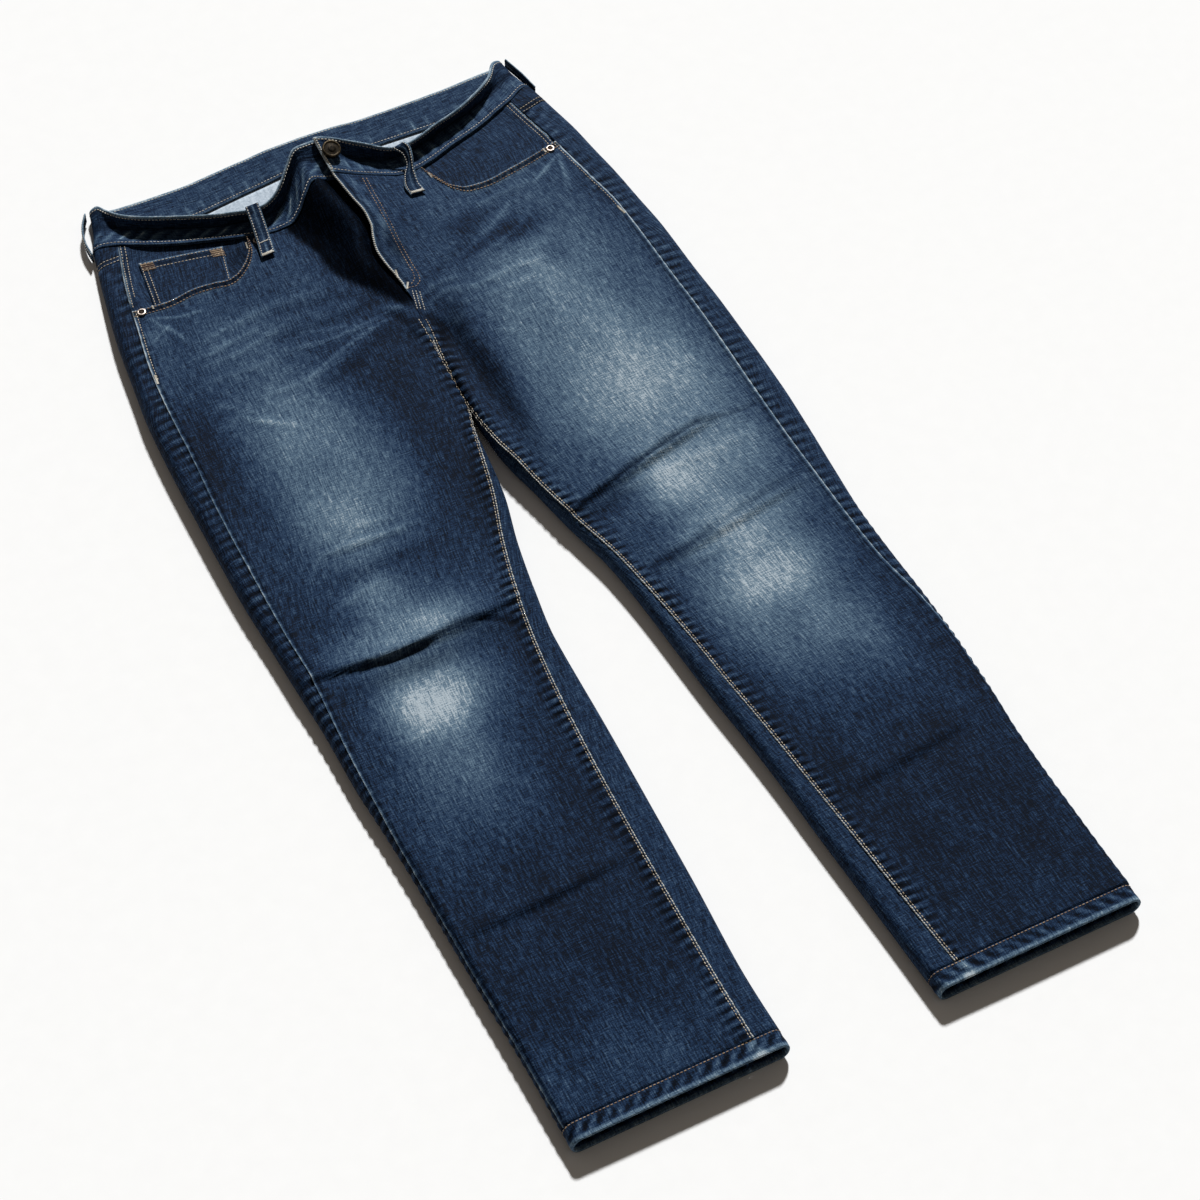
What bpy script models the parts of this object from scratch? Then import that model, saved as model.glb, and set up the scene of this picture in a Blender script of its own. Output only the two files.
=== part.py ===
"""Blue five-pocket jeans lying flat on their back, front up.

The tables are in millimetres. x runs to the wearer's left from the centre front, y runs to the
waist from the middle of the legs, and z runs up from the surface the jeans lie on. Heights are
those of the cloth's outer face. The finished pieces are shifted so that the origin lies under
the middle of the whole garment.
"""

import math

import bmesh
import bpy
import numpy as np
from mathutils import Vector

MM = 0.001

# Middle of the garment's outline in the tables' own x and y
CENTRE_X = -14.07
CENTRE_Y = -5.77

# Cloth
CLOTH = 1.6
BAND_CLOTH = 3.0
HEM_CLOTH = 3.0
POCKET_CLOTH = 1.4
SEAM_GAP = 0.3
HALF_GAP = 0.5 * SEAM_GAP

# Side rolls of the legs
OUTER_ROLL = 9.0
INNER_ROLL = 8.0
ROLL_MIDDLE = 0.5

# The crotch, where the four panels meet
LEGS_PART_Y = 155.0
CROTCH_Y = 255.0
CROTCH_LOW_Y = 240.0
CROTCH_HIGH_Y = 270.0

# Fly
FLY_FOOT_Y = 284.0
FLY_FULL_Y = 300.0
FLY_UNDERLAP = 12.0
BAND_UNDERLAP = 13.0

# Hems
HEM_DEPTH = 15.0
RIGHT_HEM_Y = -510.0
LEFT_HEM_Y = -522.0

# Rows where the panels leave straight rows to follow the pockets and the waist
SHAPED_FROM_Y = 320.0

# Metal
BUTTON_RADIUS = 8.5
BUTTON_HEIGHT = 3.0
RIVET_RADIUS = 4.0
RIVET_HEIGHT = 1.4

# Belt loops
LOOP_CLOTH = 1.6

LEG_COLUMNS = ("y", "outer", "outseam", "inseam", "inner", "height")

RIGHT_LEG = (
    (-512, -246.0, -244.8, -86.5, -64.0, 20.0),
    (-450, -246.5, -245.0, -86.5, -65.0, 19.0),
    (-350, -249.0, -247.5, -85.0, -60.5, 19.0),
    (-250, -251.5, -249.5, -82.0, -57.0, 19.0),
    (-200, -254.0, -250.5, -79.5, -55.5, 19.0),
    (-150, -257.0, -250.5, -76.0, -54.5, 19.0),
    (-100, -257.5, -248.8, -70.5, -53.0, 19.5),
    (-50, -260.0, -246.8, -62.0, -46.5, 20.0),
    (0, -262.0, -248.4, -50.0, -38.0, 20.0),
    (55, -264.5, -248.6, -33.5, -25.0, 21.0),
    (95, -265.0, -248.6, -25.0, -20.0, 22.0),
    (120, -265.2, -248.2, -20.0, -17.5, 22.0),
    (155, -265.2, -247.0, -12.6, -12.4, 22.0),
    (200, -264.5, -244.6, -11.2, -11.0, 22.0),
    (255, -262.0, -243.0, -8.2, -8.0, 22.0),
    (300, -257.0, -239.5, -8.2, -8.0, 21.0),
    (350, -251.0, -231.3, -8.2, -8.0, 20.0),
    (400, -242.0, -222.3, -8.2, -8.0, 17.0),
    (430, -236.0, -215.0, -8.2, -8.0, 14.5),
    (455, -230.6, -208.0, -8.2, -8.0, 13.5),
    (480, -226.5, -203.0, -8.2, -8.0, 13.0),
)

LEFT_LEG = (
    (-524, 235.5, 234.4, 80.0, 57.0, 20.0),
    (-450, 233.5, 232.4, 72.5, 52.0, 19.0),
    (-350, 232.5, 231.3, 63.0, 45.0, 19.0),
    (-300, 235.0, 233.6, 58.0, 42.0, 19.0),
    (-250, 236.0, 233.5, 53.0, 38.0, 19.0),
    (-200, 235.0, 228.5, 47.0, 33.0, 19.0),
    (-150, 232.5, 219.5, 41.5, 29.0, 19.0),
    (-100, 231.0, 215.8, 34.5, 25.0, 19.5),
    (-50, 233.0, 213.8, 26.0, 19.0, 20.0),
    (0, 235.5, 212.2, 13.0, 8.0, 20.0),
    (50, 237.0, 211.8, 1.8, -2.0, 21.0),
    (75, 237.0, 211.8, -3.4, -8.0, 21.5),
    (100, 236.7, 211.8, -8.8, -11.6, 22.0),
    (135, 236.4, 211.4, -11.9, -12.8, 22.0),
    (155, 236.0, 211.0, -12.2, -12.4, 22.0),
    (200, 233.5, 209.0, -10.8, -11.0, 22.0),
    (255, 231.5, 207.4, -7.8, -8.0, 22.0),
    (295, 228.0, 205.4, -7.8, -8.0, 21.0),
    (335, 224.5, 198.7, -7.8, -8.0, 20.0),
    (368, 220.5, 193.9, -7.8, -8.0, 18.5),
    (400, 217.0, 188.6, -7.8, -8.0, 17.0),
    (430, 212.2, 183.4, -7.8, -8.0, 14.5),
    (456, 207.4, 178.4, -7.8, -8.0, 13.5),
    (480, 201.8, 174.0, -7.8, -8.0, 13.0),
)

# Height of the front along the middle of each leg, and the fly's ridge on top of it
TOP_COLUMNS = ("y", "crown", "ridge", "ridge_width", "valley")
TOP = (
    (-524, 20.5, 0.0, 0.40, 0.0),
    (-300, 20.5, 0.0, 0.40, 0.0),
    (-100, 21.5, 0.0, 0.40, 0.0),
    (0, 22.0, 0.0, 0.40, 0.0),
    (100, 24.0, 0.0, 0.40, 0.0),
    (200, 25.5, 0.0, 0.40, 0.0),
    (258, 25.0, 0.0, 0.40, 0.0),
    (284, 24.5, 3.0, 0.42, 3.2),
    (307, 24.0, 6.0, 0.48, 5.0),
    (343, 23.0, 11.0, 0.58, 7.5),
    (367, 22.0, 15.0, 0.68, 8.5),
    (391, 20.0, 19.0, 0.80, 9.0),
    (430, 16.5, 25.0, 1.00, 9.0),
    (480, 16.0, 30.0, 1.05, 9.0),
)

# Plan of the fly's free edge, which is the ridge's crest
CREST_COLUMNS = ("y", "x")
CREST = (
    (150, -12.4),
    (200, -11.0),
    (255, -8.0),
    (270, -6.4),
    (285, -7.5),
    (301, -9.6),
    (316, -12.4),
    (330, -13.4),
    (345, -10.5),
    (359, -6.2),
    (372, -5.5),
    (392, -8.6),
    (410, -11.0),
    (427, -12.8),
    (462, -13.3),
)

# Share of the ridge's height across it, from the crest to each side
RIDGE_COLUMNS = ("across", "share")
RIDGE = (
    (-82, 0.0),
    (-62, 0.07),
    (-46, 0.38),
    (-35, 0.68),
    (-24, 0.92),
    (-13, 1.0),
    (0, 1.0),
    (12, 0.86),
    (28, 0.58),
    (40, 0.38),
    (52, 0.22),
    (66, 0.09),
    (86, 0.0),
)

# Long folds across the legs: a crest line in plan, how high and how deep
FOLD_COLUMNS = ("start_x", "start_y", "mid_x", "mid_y", "end_x", "end_y", "rise", "dip", "above", "below")
RIGHT_FOLDS = (
    (-262, -47, -185, -71, -56, -50, 4.5, 2.0, 30, 26),
    (-252, -318, -175, -322, -95, -312, 2.0, 1.2, 26, 20),
)
LEFT_FOLDS = (
    (4, 4, 77, 22, 172, 42, 4.0, 2.0, 28, 24),
    (40, -80, 118, -68, 205, -52, 2.2, 1.4, 26, 22),
    (84, -338, 140, -332, 205, -322, 1.6, 1.0, 26, 20),
)

# Trough in the left thigh beside the inseam
TROUGH_COLUMNS = ("y", "x", "depth")
TROUGH = (
    (80, 10.0, 0.0),
    (130, 12.0, 3.5),
    (160, 14.0, 5.0),
    (200, 9.0, 5.0),
    (240, 6.0, 4.5),
    (270, 10.0, 2.0),
    (290, 12.0, 0.0),
)
TROUGH_WIDTH = 13.0

# Waist seam of the front, in plan
FRONT_SEAM_COLUMNS = ("x", "y")
FRONT_SEAM = (
    (-232, 462.5),
    (-215, 459.3),
    (-200, 452.0),
    (-180, 441.5),
    (-160, 432.0),
    (-140, 424.6),
    (-120, 417.0),
    (-97.5, 409.3),
    (-78, 404.0),
    (-66, 404.0),
    (-57.5, 406.5),
    (-49, 411.0),
    (-42, 417.5),
    (-35, 424.0),
    (-27, 426.5),
    (-12, 426.5),
    (0, 423.0),
    (16, 420.3),
    (28, 418.8),
    (39, 416.4),
    (50, 414.5),
    (64, 416.4),
    (80, 420.1),
    (100, 427.6),
    (120, 434.0),
    (140, 440.4),
    (160, 450.0),
    (180, 459.0),
    (195, 468.0),
    (205, 470.5),
)

# Waist seam of the back, in plan
BACK_SEAM_COLUMNS = ("x", "y")
BACK_SEAM = (
    (-232, 462.5),
    (-215, 465.0),
    (-125, 467.2),
    (-95, 471.0),
    (-55, 475.0),
    (-10, 477.0),
    (50, 473.5),
    (100, 471.5),
    (150, 470.5),
    (195, 472.0),
    (205, 470.5),
)

# Seam between back panel and yoke
YOKE_COLUMNS = ("x", "y")
YOKE = (
    (-240, 436.0),
    (-214, 436.0),
    (-120, 420.0),
    (-8, 400.0),
    (100, 420.0),
    (184, 437.0),
    (210, 445.0),
)

# The waistband at stations along the waist seam: where its crease and its top edge lie,
# measured from the seam in y and in height, and how far the top edge leans to the side
BAND_COLUMNS = ("x", "crease_run", "crease_rise", "edge_lean", "edge_run", "edge_rise")
FRONT_BAND = (
    (-232, 21.0, 0.5, 14.0, 44.0, 2.5),
    (-225, 21.0, -0.5, 14.0, 44.0, 3.0),
    (-215, 22.0, -1.5, 9.0, 41.0, 4.0),
    (-200, 23.5, -2.5, -1.0, 33.5, 6.5),
    (-180, 23.5, -3.0, -2.7, 23.6, 11.5),
    (-160, 22.7, -3.0, -3.0, 22.0, 12.0),
    (-140, 20.6, -3.0, -3.5, 19.6, 12.5),
    (-120, 18.7, -3.0, -3.7, 18.0, 12.5),
    (-97, 20.5, -3.0, -4.0, 18.0, 12.5),
    (-78, 21.0, -2.0, -5.0, 19.0, 12.5),
    (-66, 21.0, -0.5, -6.0, 22.0, 13.0),
    (-49, 21.0, 1.0, -5.5, 26.0, 11.5),
    (-35, 21.0, 2.5, -4.5, 28.0, 10.0),
    (-22, 21.5, 4.0, -3.3, 32.0, 10.0),
    (-12, 21.5, 6.0, -1.7, 34.6, 11.0),
    (0, 22.0, 5.5, -2.5, 34.5, 13.5),
    (12, 22.0, 2.5, -5.0, 33.0, 15.5),
    (28, 22.5, -0.5, -6.5, 29.0, 16.0),
    (39, 23.0, -2.0, -6.0, 26.0, 15.5),
    (50, 23.5, -2.5, -6.0, 22.5, 13.5),
    (64, 23.6, -3.0, -5.0, 18.2, 12.0),
    (80, 23.6, -3.5, -4.8, 17.3, 12.0),
    (100, 22.1, -3.5, -5.0, 17.3, 12.5),
    (120, 21.5, -3.0, -5.0, 16.4, 13.0),
    (140, 21.0, -2.5, -5.0, 18.0, 13.0),
    (160, 19.5, -2.0, -5.0, 20.0, 12.5),
    (180, 19.7, -2.0, -8.0, 26.0, 9.5),
    (196, 19.0, -0.5, -10.0, 37.0, 4.0),
    (205, 19.0, 0.5, -9.5, 38.5, 2.5),
)
BACK_BAND = (
    (-232, 21.0, 0.5, 14.0, 44.0, 2.5),
    (-225, 21.0, 0.0, 14.0, 44.0, 0.0),
    (-200, 22.0, 0.0, 5.0, 41.0, 0.0),
    (-150, 22.0, 0.0, 0.0, 38.0, 0.0),
    (-100, 22.0, 0.0, 0.0, 36.0, 0.0),
    (-54, 21.0, 0.0, 0.0, 35.0, 0.0),
    (-10, 21.0, 0.0, 0.0, 33.5, 0.0),
    (50, 21.0, 0.0, 0.0, 34.5, 0.0),
    (100, 21.5, 0.0, 0.0, 36.0, 0.0),
    (150, 22.0, 0.0, 0.0, 38.0, 0.0),
    (180, 21.0, 0.0, -3.0, 39.5, 0.0),
    (197, 20.0, 0.0, -9.5, 38.5, 0.0),
    (205, 19.0, 0.5, -9.5, 38.5, 2.5),
)

# Mouths of the front pockets, from the waist seam to the outseam, in plan
MOUTH_COLUMNS = ("along", "x", "y")
RIGHT_MOUTH = (
    (0.00, -103.5, 411.2),
    (0.10, -106.0, 399.5),
    (0.20, -111.4, 388.7),
    (0.30, -119.0, 378.8),
    (0.42, -131.0, 369.5),
    (0.50, -140.0, 367.2),
    (0.60, -152.0, 370.0),
    (0.72, -170.0, 372.0),
    (0.86, -196.0, 368.8),
    (1.00, -228.0, 372.5),
)
LEFT_MOUTH = (
    (0.00, 68.5, 417.0),
    (0.10, 69.0, 404.0),
    (0.18, 73.0, 394.0),
    (0.30, 83.0, 381.5),
    (0.42, 94.0, 373.0),
    (0.55, 112.0, 371.3),
    (0.72, 137.0, 375.5),
    (0.85, 158.0, 380.0),
    (1.00, 190.4, 388.5),
)

# Hidden lower edge of the facings behind the mouths
RIGHT_FACING_FOOT = (
    (0.00, -91.0, 402.0),
    (0.35, -112.0, 364.0),
    (1.00, -230.0, 358.0),
)
LEFT_FACING_FOOT = (
    (0.00, 57.0, 404.0),
    (0.35, 82.0, 366.0),
    (1.00, 191.0, 376.0),
)
FACING_DROP = 1.9
COIN_DROP = 1.7

# Corners of the coin pocket: right and left ends of its top and of its hidden foot
COIN_TOP = ((-199.5, 427.0), (-126.5, 410.3))
COIN_FOOT = ((-208.5, 362.0), (-138.0, 360.0))

# Back pockets: outline about a middle on the back, the same on both sides
BACK_POCKET_MIDDLES = {"right": (-122.0, 318.0), "left": (106.0, 318.0)}
BACK_POCKET_OUTLINE = ((-68, 70), (68, 70), (60, -52), (0, -78), (-60, -52))
BACK_POCKET_CLEAR = 1.9
BACK_POCKET_RADIUS = 80.0
BACK_POCKET_FADE = 48.0
BACK_POCKET_CLOTH = 1.5

# Back belt loop, under the waistband
BACK_LOOP_X = -8.0
BACK_LOOP_CLEAR = 2.0
BACK_LOOP_REACH = 22.0
BACK_LOOP_FADE = 40.0

# Where the front's border turns from the waist seam into the pocket's mouth, as a share of it
MOUTH_CORNER = 0.5
MOUTH_LAP = 10.0

# Gap between the waistband and the pieces it is sewn to
WAIST_GAP = 0.7
FACING_GAP = 1.3

# The inner wall of each thigh ends under the front panel between these rows
WALL_SINKS_Y = (175.0, 225.0)

# The waistband's outermost x, the height of its side rolls and where its crease lies in its width
BAND_SIDE_X = {"right": -229.0, "left": 203.5}
BAND_SIDE_HEIGHT = 13.0
CREASE_SHARE = 0.58

# How far the waistband's right end rises towards the left end that lies on it
RIGHT_END_RISE = 5.0

# Rows where the panels need a closer grid: middle, half width, spacing
CLOSE_ROWS = {
    "right": ((-60.0, 20.0, 8.0), (-319.0, 14.0, 10.0), (90.0, 34.0, 13.0), (262.0, 30.0, 10.0)),
    "left": ((24.0, 28.0, 9.0), (-66.0, 16.0, 9.0), (262.0, 30.0, 10.0)),
}

# Belt loops: middle line of the outer face, how far each strip is turned and how wide it looks
LOOP_COLUMNS = ("along", "x", "y", "z", "turn", "width")
FRONT_RIGHT_LOOP = (
    (0.0, -97.0, 375.5, 25.0, 2.0, 11.0),
    (0.35, -93.5, 394.0, 25.5, 2.0, 10.5),
    (0.7, -91.0, 412.0, 30.0, 2.0, 10.5),
    (1.0, -89.5, 427.5, 35.0, 2.0, 10.5),
)
FRONT_LEFT_LOOP = (
    (0.0, 51.5, 383.0, 24.6, -4.0, 12.0),
    (0.25, 50.5, 393.0, 25.0, -4.0, 11.5),
    (0.5, 53.5, 406.0, 27.0, 25.0, 9.5),
    (0.72, 59.0, 417.0, 30.5, 55.0, 8.5),
    (0.88, 60.5, 427.0, 33.0, 45.0, 9.0),
    (1.0, 56.5, 435.5, 34.0, 15.0, 10.0),
)
SIDE_RIGHT_LOOP = (
    (0.0, -232.0, 457.0, 7.0, 90.0, 9.0),
    (0.25, -232.4, 468.0, 7.3, 90.0, 9.0),
    (0.5, -231.0, 480.0, 7.7, 90.0, 9.0),
    (0.75, -227.2, 492.0, 8.0, 90.0, 9.0),
    (1.0, -219.8, 504.5, 8.5, 90.0, 9.0),
)
SIDE_LEFT_LOOP = (
    (0.0, 207.6, 464.0, 7.0, 90.0, 9.0),
    (0.25, 206.2, 473.0, 7.3, 90.0, 9.0),
    (0.5, 204.2, 484.0, 7.7, 90.0, 9.0),
    (0.75, 201.5, 495.0, 8.0, 90.0, 9.0),
    (1.0, 198.2, 507.0, 8.5, 90.0, 9.0),
)
LOOPS = {
    "loop_front_right": (FRONT_RIGHT_LOOP, 6, False),
    "loop_front_left": (FRONT_LEFT_LOOP, 9, False),
    "loop_side_right": (SIDE_RIGHT_LOOP, 6, False),
    "loop_side_left": (SIDE_LEFT_LOOP, 6, True),
}
BACK_LOOP_OUTLINE = ((-13.5, 458.0), (-13.5, 510.0), (-2.5, 510.0), (-2.5, 458.0))

# Surfaces: word, colour, roughness, metallic
DENIM = ("denim", (0.035, 0.075, 0.16), 0.85, 0.0)
AGED_BRASS = ("aged brass", (0.24, 0.16, 0.09), 0.45, 0.9)
WORN_COPPER = ("worn copper", (0.42, 0.3, 0.24), 0.4, 0.9)

# Metal trim: the button on the waistband's left end, and the rivets at the pocket mouths
BUTTON_MIDDLE = (-3.5, 446.0, 46.0)
BUTTON_NORMAL = (0.12, -0.32, 0.94)
RIVET_LIFT = 0.3
RIVETS = {
    "rivet_right_outer": ("right", -220.4, 366.9),
    "rivet_right_inner": ("right", -97.5, 399.0),
    "rivet_left_outer": ("left", 181.5, 381.0),
}


def smooth_step(start, end, value):
    """Ease from 0 at start to 1 at end."""
    t = np.clip((np.asarray(value, float) - start) / (end - start), 0.0, 1.0)
    return t * t * (3.0 - 2.0 * t)


class Table:
    """A short table with named columns, read as smooth curves over its first column."""

    def __init__(self, columns, rows):
        values = np.array(rows, float).T
        self.columns = dict(zip(columns, values))
        self.key = values[0]

    def read(self, name, at):
        xs = self.key
        ys = self.columns[name]
        step = np.diff(xs)
        rise = np.diff(ys) / step
        product = rise[:-1] * rise[1:]
        total = rise[:-1] + rise[1:]
        inner = np.where(product > 0.0, 2.0 * product / np.where(total == 0.0, 1.0, total), 0.0)
        slope = np.concatenate([rise[:1], inner, rise[-1:]])
        at = np.clip(np.asarray(at, float), xs[0], xs[-1])
        i = np.clip(np.searchsorted(xs, at) - 1, 0, len(xs) - 2)
        t = (at - xs[i]) / step[i]
        a = ys[i] * (1 + 2 * t) * (1 - t) ** 2
        b = ys[i + 1] * t * t * (3 - 2 * t)
        c = step[i] * t * (1 - t) * (slope[i] * (1 - t) - slope[i + 1] * t)
        return a + b + c


LEGS = {"right": Table(LEG_COLUMNS, RIGHT_LEG), "left": Table(LEG_COLUMNS, LEFT_LEG)}
OUTWARD = {"right": -1.0, "left": 1.0}
HEM_Y = {"right": RIGHT_HEM_Y, "left": LEFT_HEM_Y}
FOLDS = {"right": RIGHT_FOLDS, "left": LEFT_FOLDS}
MOUTHS = {"right": Table(MOUTH_COLUMNS, RIGHT_MOUTH), "left": Table(MOUTH_COLUMNS, LEFT_MOUTH)}
FACING_FEET = {
    "right": Table(MOUTH_COLUMNS, RIGHT_FACING_FOOT),
    "left": Table(MOUTH_COLUMNS, LEFT_FACING_FOOT),
}
TOPS = Table(TOP_COLUMNS, TOP)
CRESTS = Table(CREST_COLUMNS, CREST)
RIDGES = Table(RIDGE_COLUMNS, RIDGE)
TROUGHS = Table(TROUGH_COLUMNS, TROUGH)
FRONT_SEAMS = Table(FRONT_SEAM_COLUMNS, FRONT_SEAM)
BACK_SEAMS = Table(BACK_SEAM_COLUMNS, BACK_SEAM)
YOKES = Table(YOKE_COLUMNS, YOKE)
FRONT_BANDS = Table(BAND_COLUMNS, FRONT_BAND)
BACK_BANDS = Table(BAND_COLUMNS, BACK_BAND)


def fold_height(side, x, y):
    """Height that the long folds add: a swell above the crest line and a dip below it."""
    total = np.zeros_like(x)
    for row in FOLDS[side]:
        fold = dict(zip(FOLD_COLUMNS, row))
        u = np.clip((x - fold["start_x"]) / (fold["end_x"] - fold["start_x"]), 0.0, 1.0)
        line = (1 - u) ** 2 * fold["start_y"] + 2 * u * (1 - u) * fold["mid_y"] + u ** 2 * fold["end_y"]
        distance = y - line
        taper = np.sqrt(np.sin(np.pi * u))
        swell = fold["rise"] * np.exp(-np.maximum(distance, 0.0) / fold["above"])
        dip = fold["dip"] * np.exp(np.minimum(distance, 0.0) / fold["below"])
        turn = smooth_step(-7.0, 1.0, distance)
        total += taper * (swell * turn - dip * (1.0 - turn))
    return total


def base_height(side, x, y):
    """Height of the front's outer face away from the side rolls and the fly."""
    leg = LEGS[side]
    edge = leg.read("height", y)
    crown = TOPS.read("crown", y)
    outer = leg.read("outer", y)
    inner = leg.read("inner", y)
    share = np.clip((x - inner) / (outer - inner), 0.0, 1.0)
    mix = smooth_step(CROTCH_Y - 90.0, CROTCH_Y + 20.0, y)
    legs = np.sin(np.pi * share)
    hips = np.cos(0.5 * np.pi * share ** 2)
    bulge = legs + (hips - legs) * mix
    height = edge + (crown - edge) * bulge
    height = height + fold_height(side, x, y)
    if side == "left":
        away = (x - TROUGHS.read("x", y)) / TROUGH_WIDTH
        height = height - TROUGHS.read("depth", y) * np.exp(-away * away)
    return height


def ridge_height(x, y):
    """Height that the fly's ridge adds."""
    across = (x - CRESTS.read("x", y)) / TOPS.read("ridge_width", y)
    return TOPS.read("ridge", y) * RIDGES.read("share", across)


def roll(depth, width):
    """Rounded fall-off towards a rolled edge: 0 on the edge, 1 at the roll's full width."""
    t = np.clip(depth / width, 0.0, 1.0)
    return np.sqrt(np.clip(1.0 - (1.0 - t) ** 2, 0.0, 1.0))


def rolls(side, x, y):
    """Fall-off at the outer and the inner edge, and how deep the cleft beside the inner edge is."""
    leg = LEGS[side]
    outward = OUTWARD[side]
    outer = roll((leg.read("outer", y) - x) * outward, OUTER_ROLL)
    inner = roll((x - leg.read("inner", y)) * outward, INNER_ROLL)
    return outer, inner


def top_height(side, x, y):
    """Height of the garment's upper face."""
    x = np.asarray(x, float)
    y = np.asarray(y, float) + np.zeros_like(x)
    middle = ROLL_MIDDLE * LEGS[side].read("height", y)
    face = base_height(side, x, y) + ridge_height(x, y)
    if side == "right":
        reach = 15.0 * TOPS.read("ridge_width", y)
        face = face - TOPS.read("valley", y) * smooth_step(-reach, -0.15 * reach, x - CRESTS.read("x", y))
    outer, inner = rolls(side, x, y)
    cleft = 1.0 - smooth_step(LEGS_PART_Y - 20.0, CROTCH_HIGH_Y, y)
    return middle + (face - middle) * outer * (1.0 - cleft * (1.0 - inner))


def lift(x, y):
    """How far the back is held off the surface by the back pockets and the back belt loop."""
    total = np.zeros_like(x)
    for middle_x, middle_y in BACK_POCKET_MIDDLES.values():
        reach = np.hypot(x - middle_x, y - middle_y) - BACK_POCKET_RADIUS
        total = np.maximum(total, BACK_POCKET_CLEAR * (1.0 - smooth_step(16.0, BACK_POCKET_FADE, reach)))
    away = np.abs(x - BACK_LOOP_X) - BACK_LOOP_REACH
    loop = (1.0 - smooth_step(0.0, BACK_LOOP_FADE, away)) * smooth_step(415.0, 445.0, y)
    return np.maximum(total, BACK_LOOP_CLEAR * loop)


def bottom_height(side, x, y):
    """Height of the garment's lower face, which rests on the surface."""
    x = np.asarray(x, float)
    y = np.asarray(y, float) + np.zeros_like(x)
    middle = ROLL_MIDDLE * LEGS[side].read("height", y)
    outer, inner = rolls(side, x, y)
    cleft = 1.0 - smooth_step(LEGS_PART_Y - 20.0, CROTCH_LOW_Y, y)
    flat = outer * (1.0 - cleft * (1.0 - inner))
    return middle * (1.0 - flat) + lift(x, y) * flat


RING_STEPS = 160


def ring(side, y):
    """Section of one leg or hip as (x, z) points: over the top outwards, then back underneath."""
    leg = LEGS[side]
    inner = float(leg.read("inner", y)) + OUTWARD[side] * HALF_GAP
    outer = float(leg.read("outer", y))
    share = 0.5 - 0.5 * np.cos(np.linspace(0.0, np.pi, RING_STEPS))
    x = inner + (outer - inner) * share
    top = np.stack([x, top_height(side, x, y)], 1)
    under = np.stack([x[::-1], bottom_height(side, x[::-1], y)], 1)
    return top, under[1:]


def resample(points, count, turn_weight=24.0):
    """Pick count points along a polyline, closer together where it turns."""
    steps = np.diff(points, axis=0)
    lengths = np.linalg.norm(steps, axis=1)
    keep = np.concatenate([[True], lengths > 1e-6])
    points = points[keep]
    steps = np.diff(points, axis=0)
    lengths = np.linalg.norm(steps, axis=1)
    heading = steps / lengths[:, None]
    cosine = np.clip((heading[1:] * heading[:-1]).sum(1), -1.0, 1.0)
    turning = np.concatenate([[0.0], np.minimum(np.arccos(cosine), 0.8)])
    weight = np.concatenate([[0.0], np.cumsum(lengths + turn_weight * turning)])
    if np.isscalar(count):
        wanted = np.linspace(0.0, weight[-1], count)
    else:
        wanted = np.asarray(count) * weight[-1]
    return np.stack([np.interp(wanted, weight, column) for column in points.T], 1)


def cut_at(polyline, x, keep_after):
    """Cut an (x, z) polyline that runs steadily in x at a given x."""
    xs = polyline[:, 0]
    order = 1.0 if xs[-1] > xs[0] else -1.0
    z = np.interp(order * x, order * xs, polyline[:, 1])
    if keep_after:
        rest = polyline[order * xs > order * x + 1e-6]
        return np.vstack([[[x, z]], rest])
    rest = polyline[order * xs < order * x - 1e-6]
    return np.vstack([rest, [[x, z]]])


def back_section(side, y):
    """Back panel's section: from the outseam over the outer roll, underneath, to its inner border."""
    leg = LEGS[side]
    outward = OUTWARD[side]
    top, under = ring(side, y)
    outseam = float(leg.read("outseam", y)) + outward * HALF_GAP
    section = np.vstack([cut_at(top, outseam, True), under])
    if y >= CROTCH_HIGH_Y:
        return section
    inseam = float(leg.read("inseam", y)) - outward * HALF_GAP
    corner = top[0]
    if y < LEGS_PART_Y and outward * (inseam - corner[0]) > 0.05:
        return np.vstack([section, cut_at(top, inseam, False)])
    sunk = (CLOTH + SEAM_GAP) * float(smooth_step(*WALL_SINKS_Y, y))
    wall_top = corner[1] - SEAM_GAP - sunk
    if y > CROTCH_LOW_Y:
        wall_top *= (CROTCH_HIGH_Y - y) / (CROTCH_HIGH_Y - CROTCH_LOW_Y)
    foot = section[-1, 1]
    wall = np.linspace(foot, max(wall_top, foot + 0.01), 8)[1:]
    return np.vstack([section, np.stack([np.full(len(wall), corner[0]), wall], 1)])


def front_inner(side, y):
    """Plan of the front panel's inner border: the inseam, then the fly's edge."""
    outward = OUTWARD[side]
    inseam = LEGS[side].read("inseam", y) + outward * HALF_GAP
    edge = CRESTS.read("x", y) + outward * HALF_GAP
    if side == "right":
        edge = edge + smooth_step(FLY_FOOT_Y, FLY_FULL_Y, y) * FLY_UNDERLAP
    above = smooth_step(CROTCH_Y - 4.0, CROTCH_Y + 4.0, y)
    return inseam + (edge - inseam) * above


def front_point(side, share, y):
    """A point on the front: share runs from the inner border to the outseam."""
    inner = front_inner(side, y)
    outseam = LEGS[side].read("outseam", y) - OUTWARD[side] * HALF_GAP
    x = inner + (outseam - inner) * share
    return np.stack([x, y, top_height(side, x, y)], -1)


def row_stations(start, end, spacing, close_ups):
    """Rows from start to end, closer together round each close-up (middle, half width, spacing)."""
    at = np.linspace(start, end, 2000)
    density = np.full_like(at, 1.0 / spacing)
    for middle, half, fine in close_ups:
        density = np.maximum(density, np.exp(-(((at - middle) / half) ** 4)) / fine)
    total = np.concatenate([[0.0], np.cumsum(0.5 * (density[1:] + density[:-1]) * np.diff(at))])
    count = int(math.ceil(total[-1])) + 1
    return np.interp(np.linspace(0.0, total[-1], count), total, at)


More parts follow.
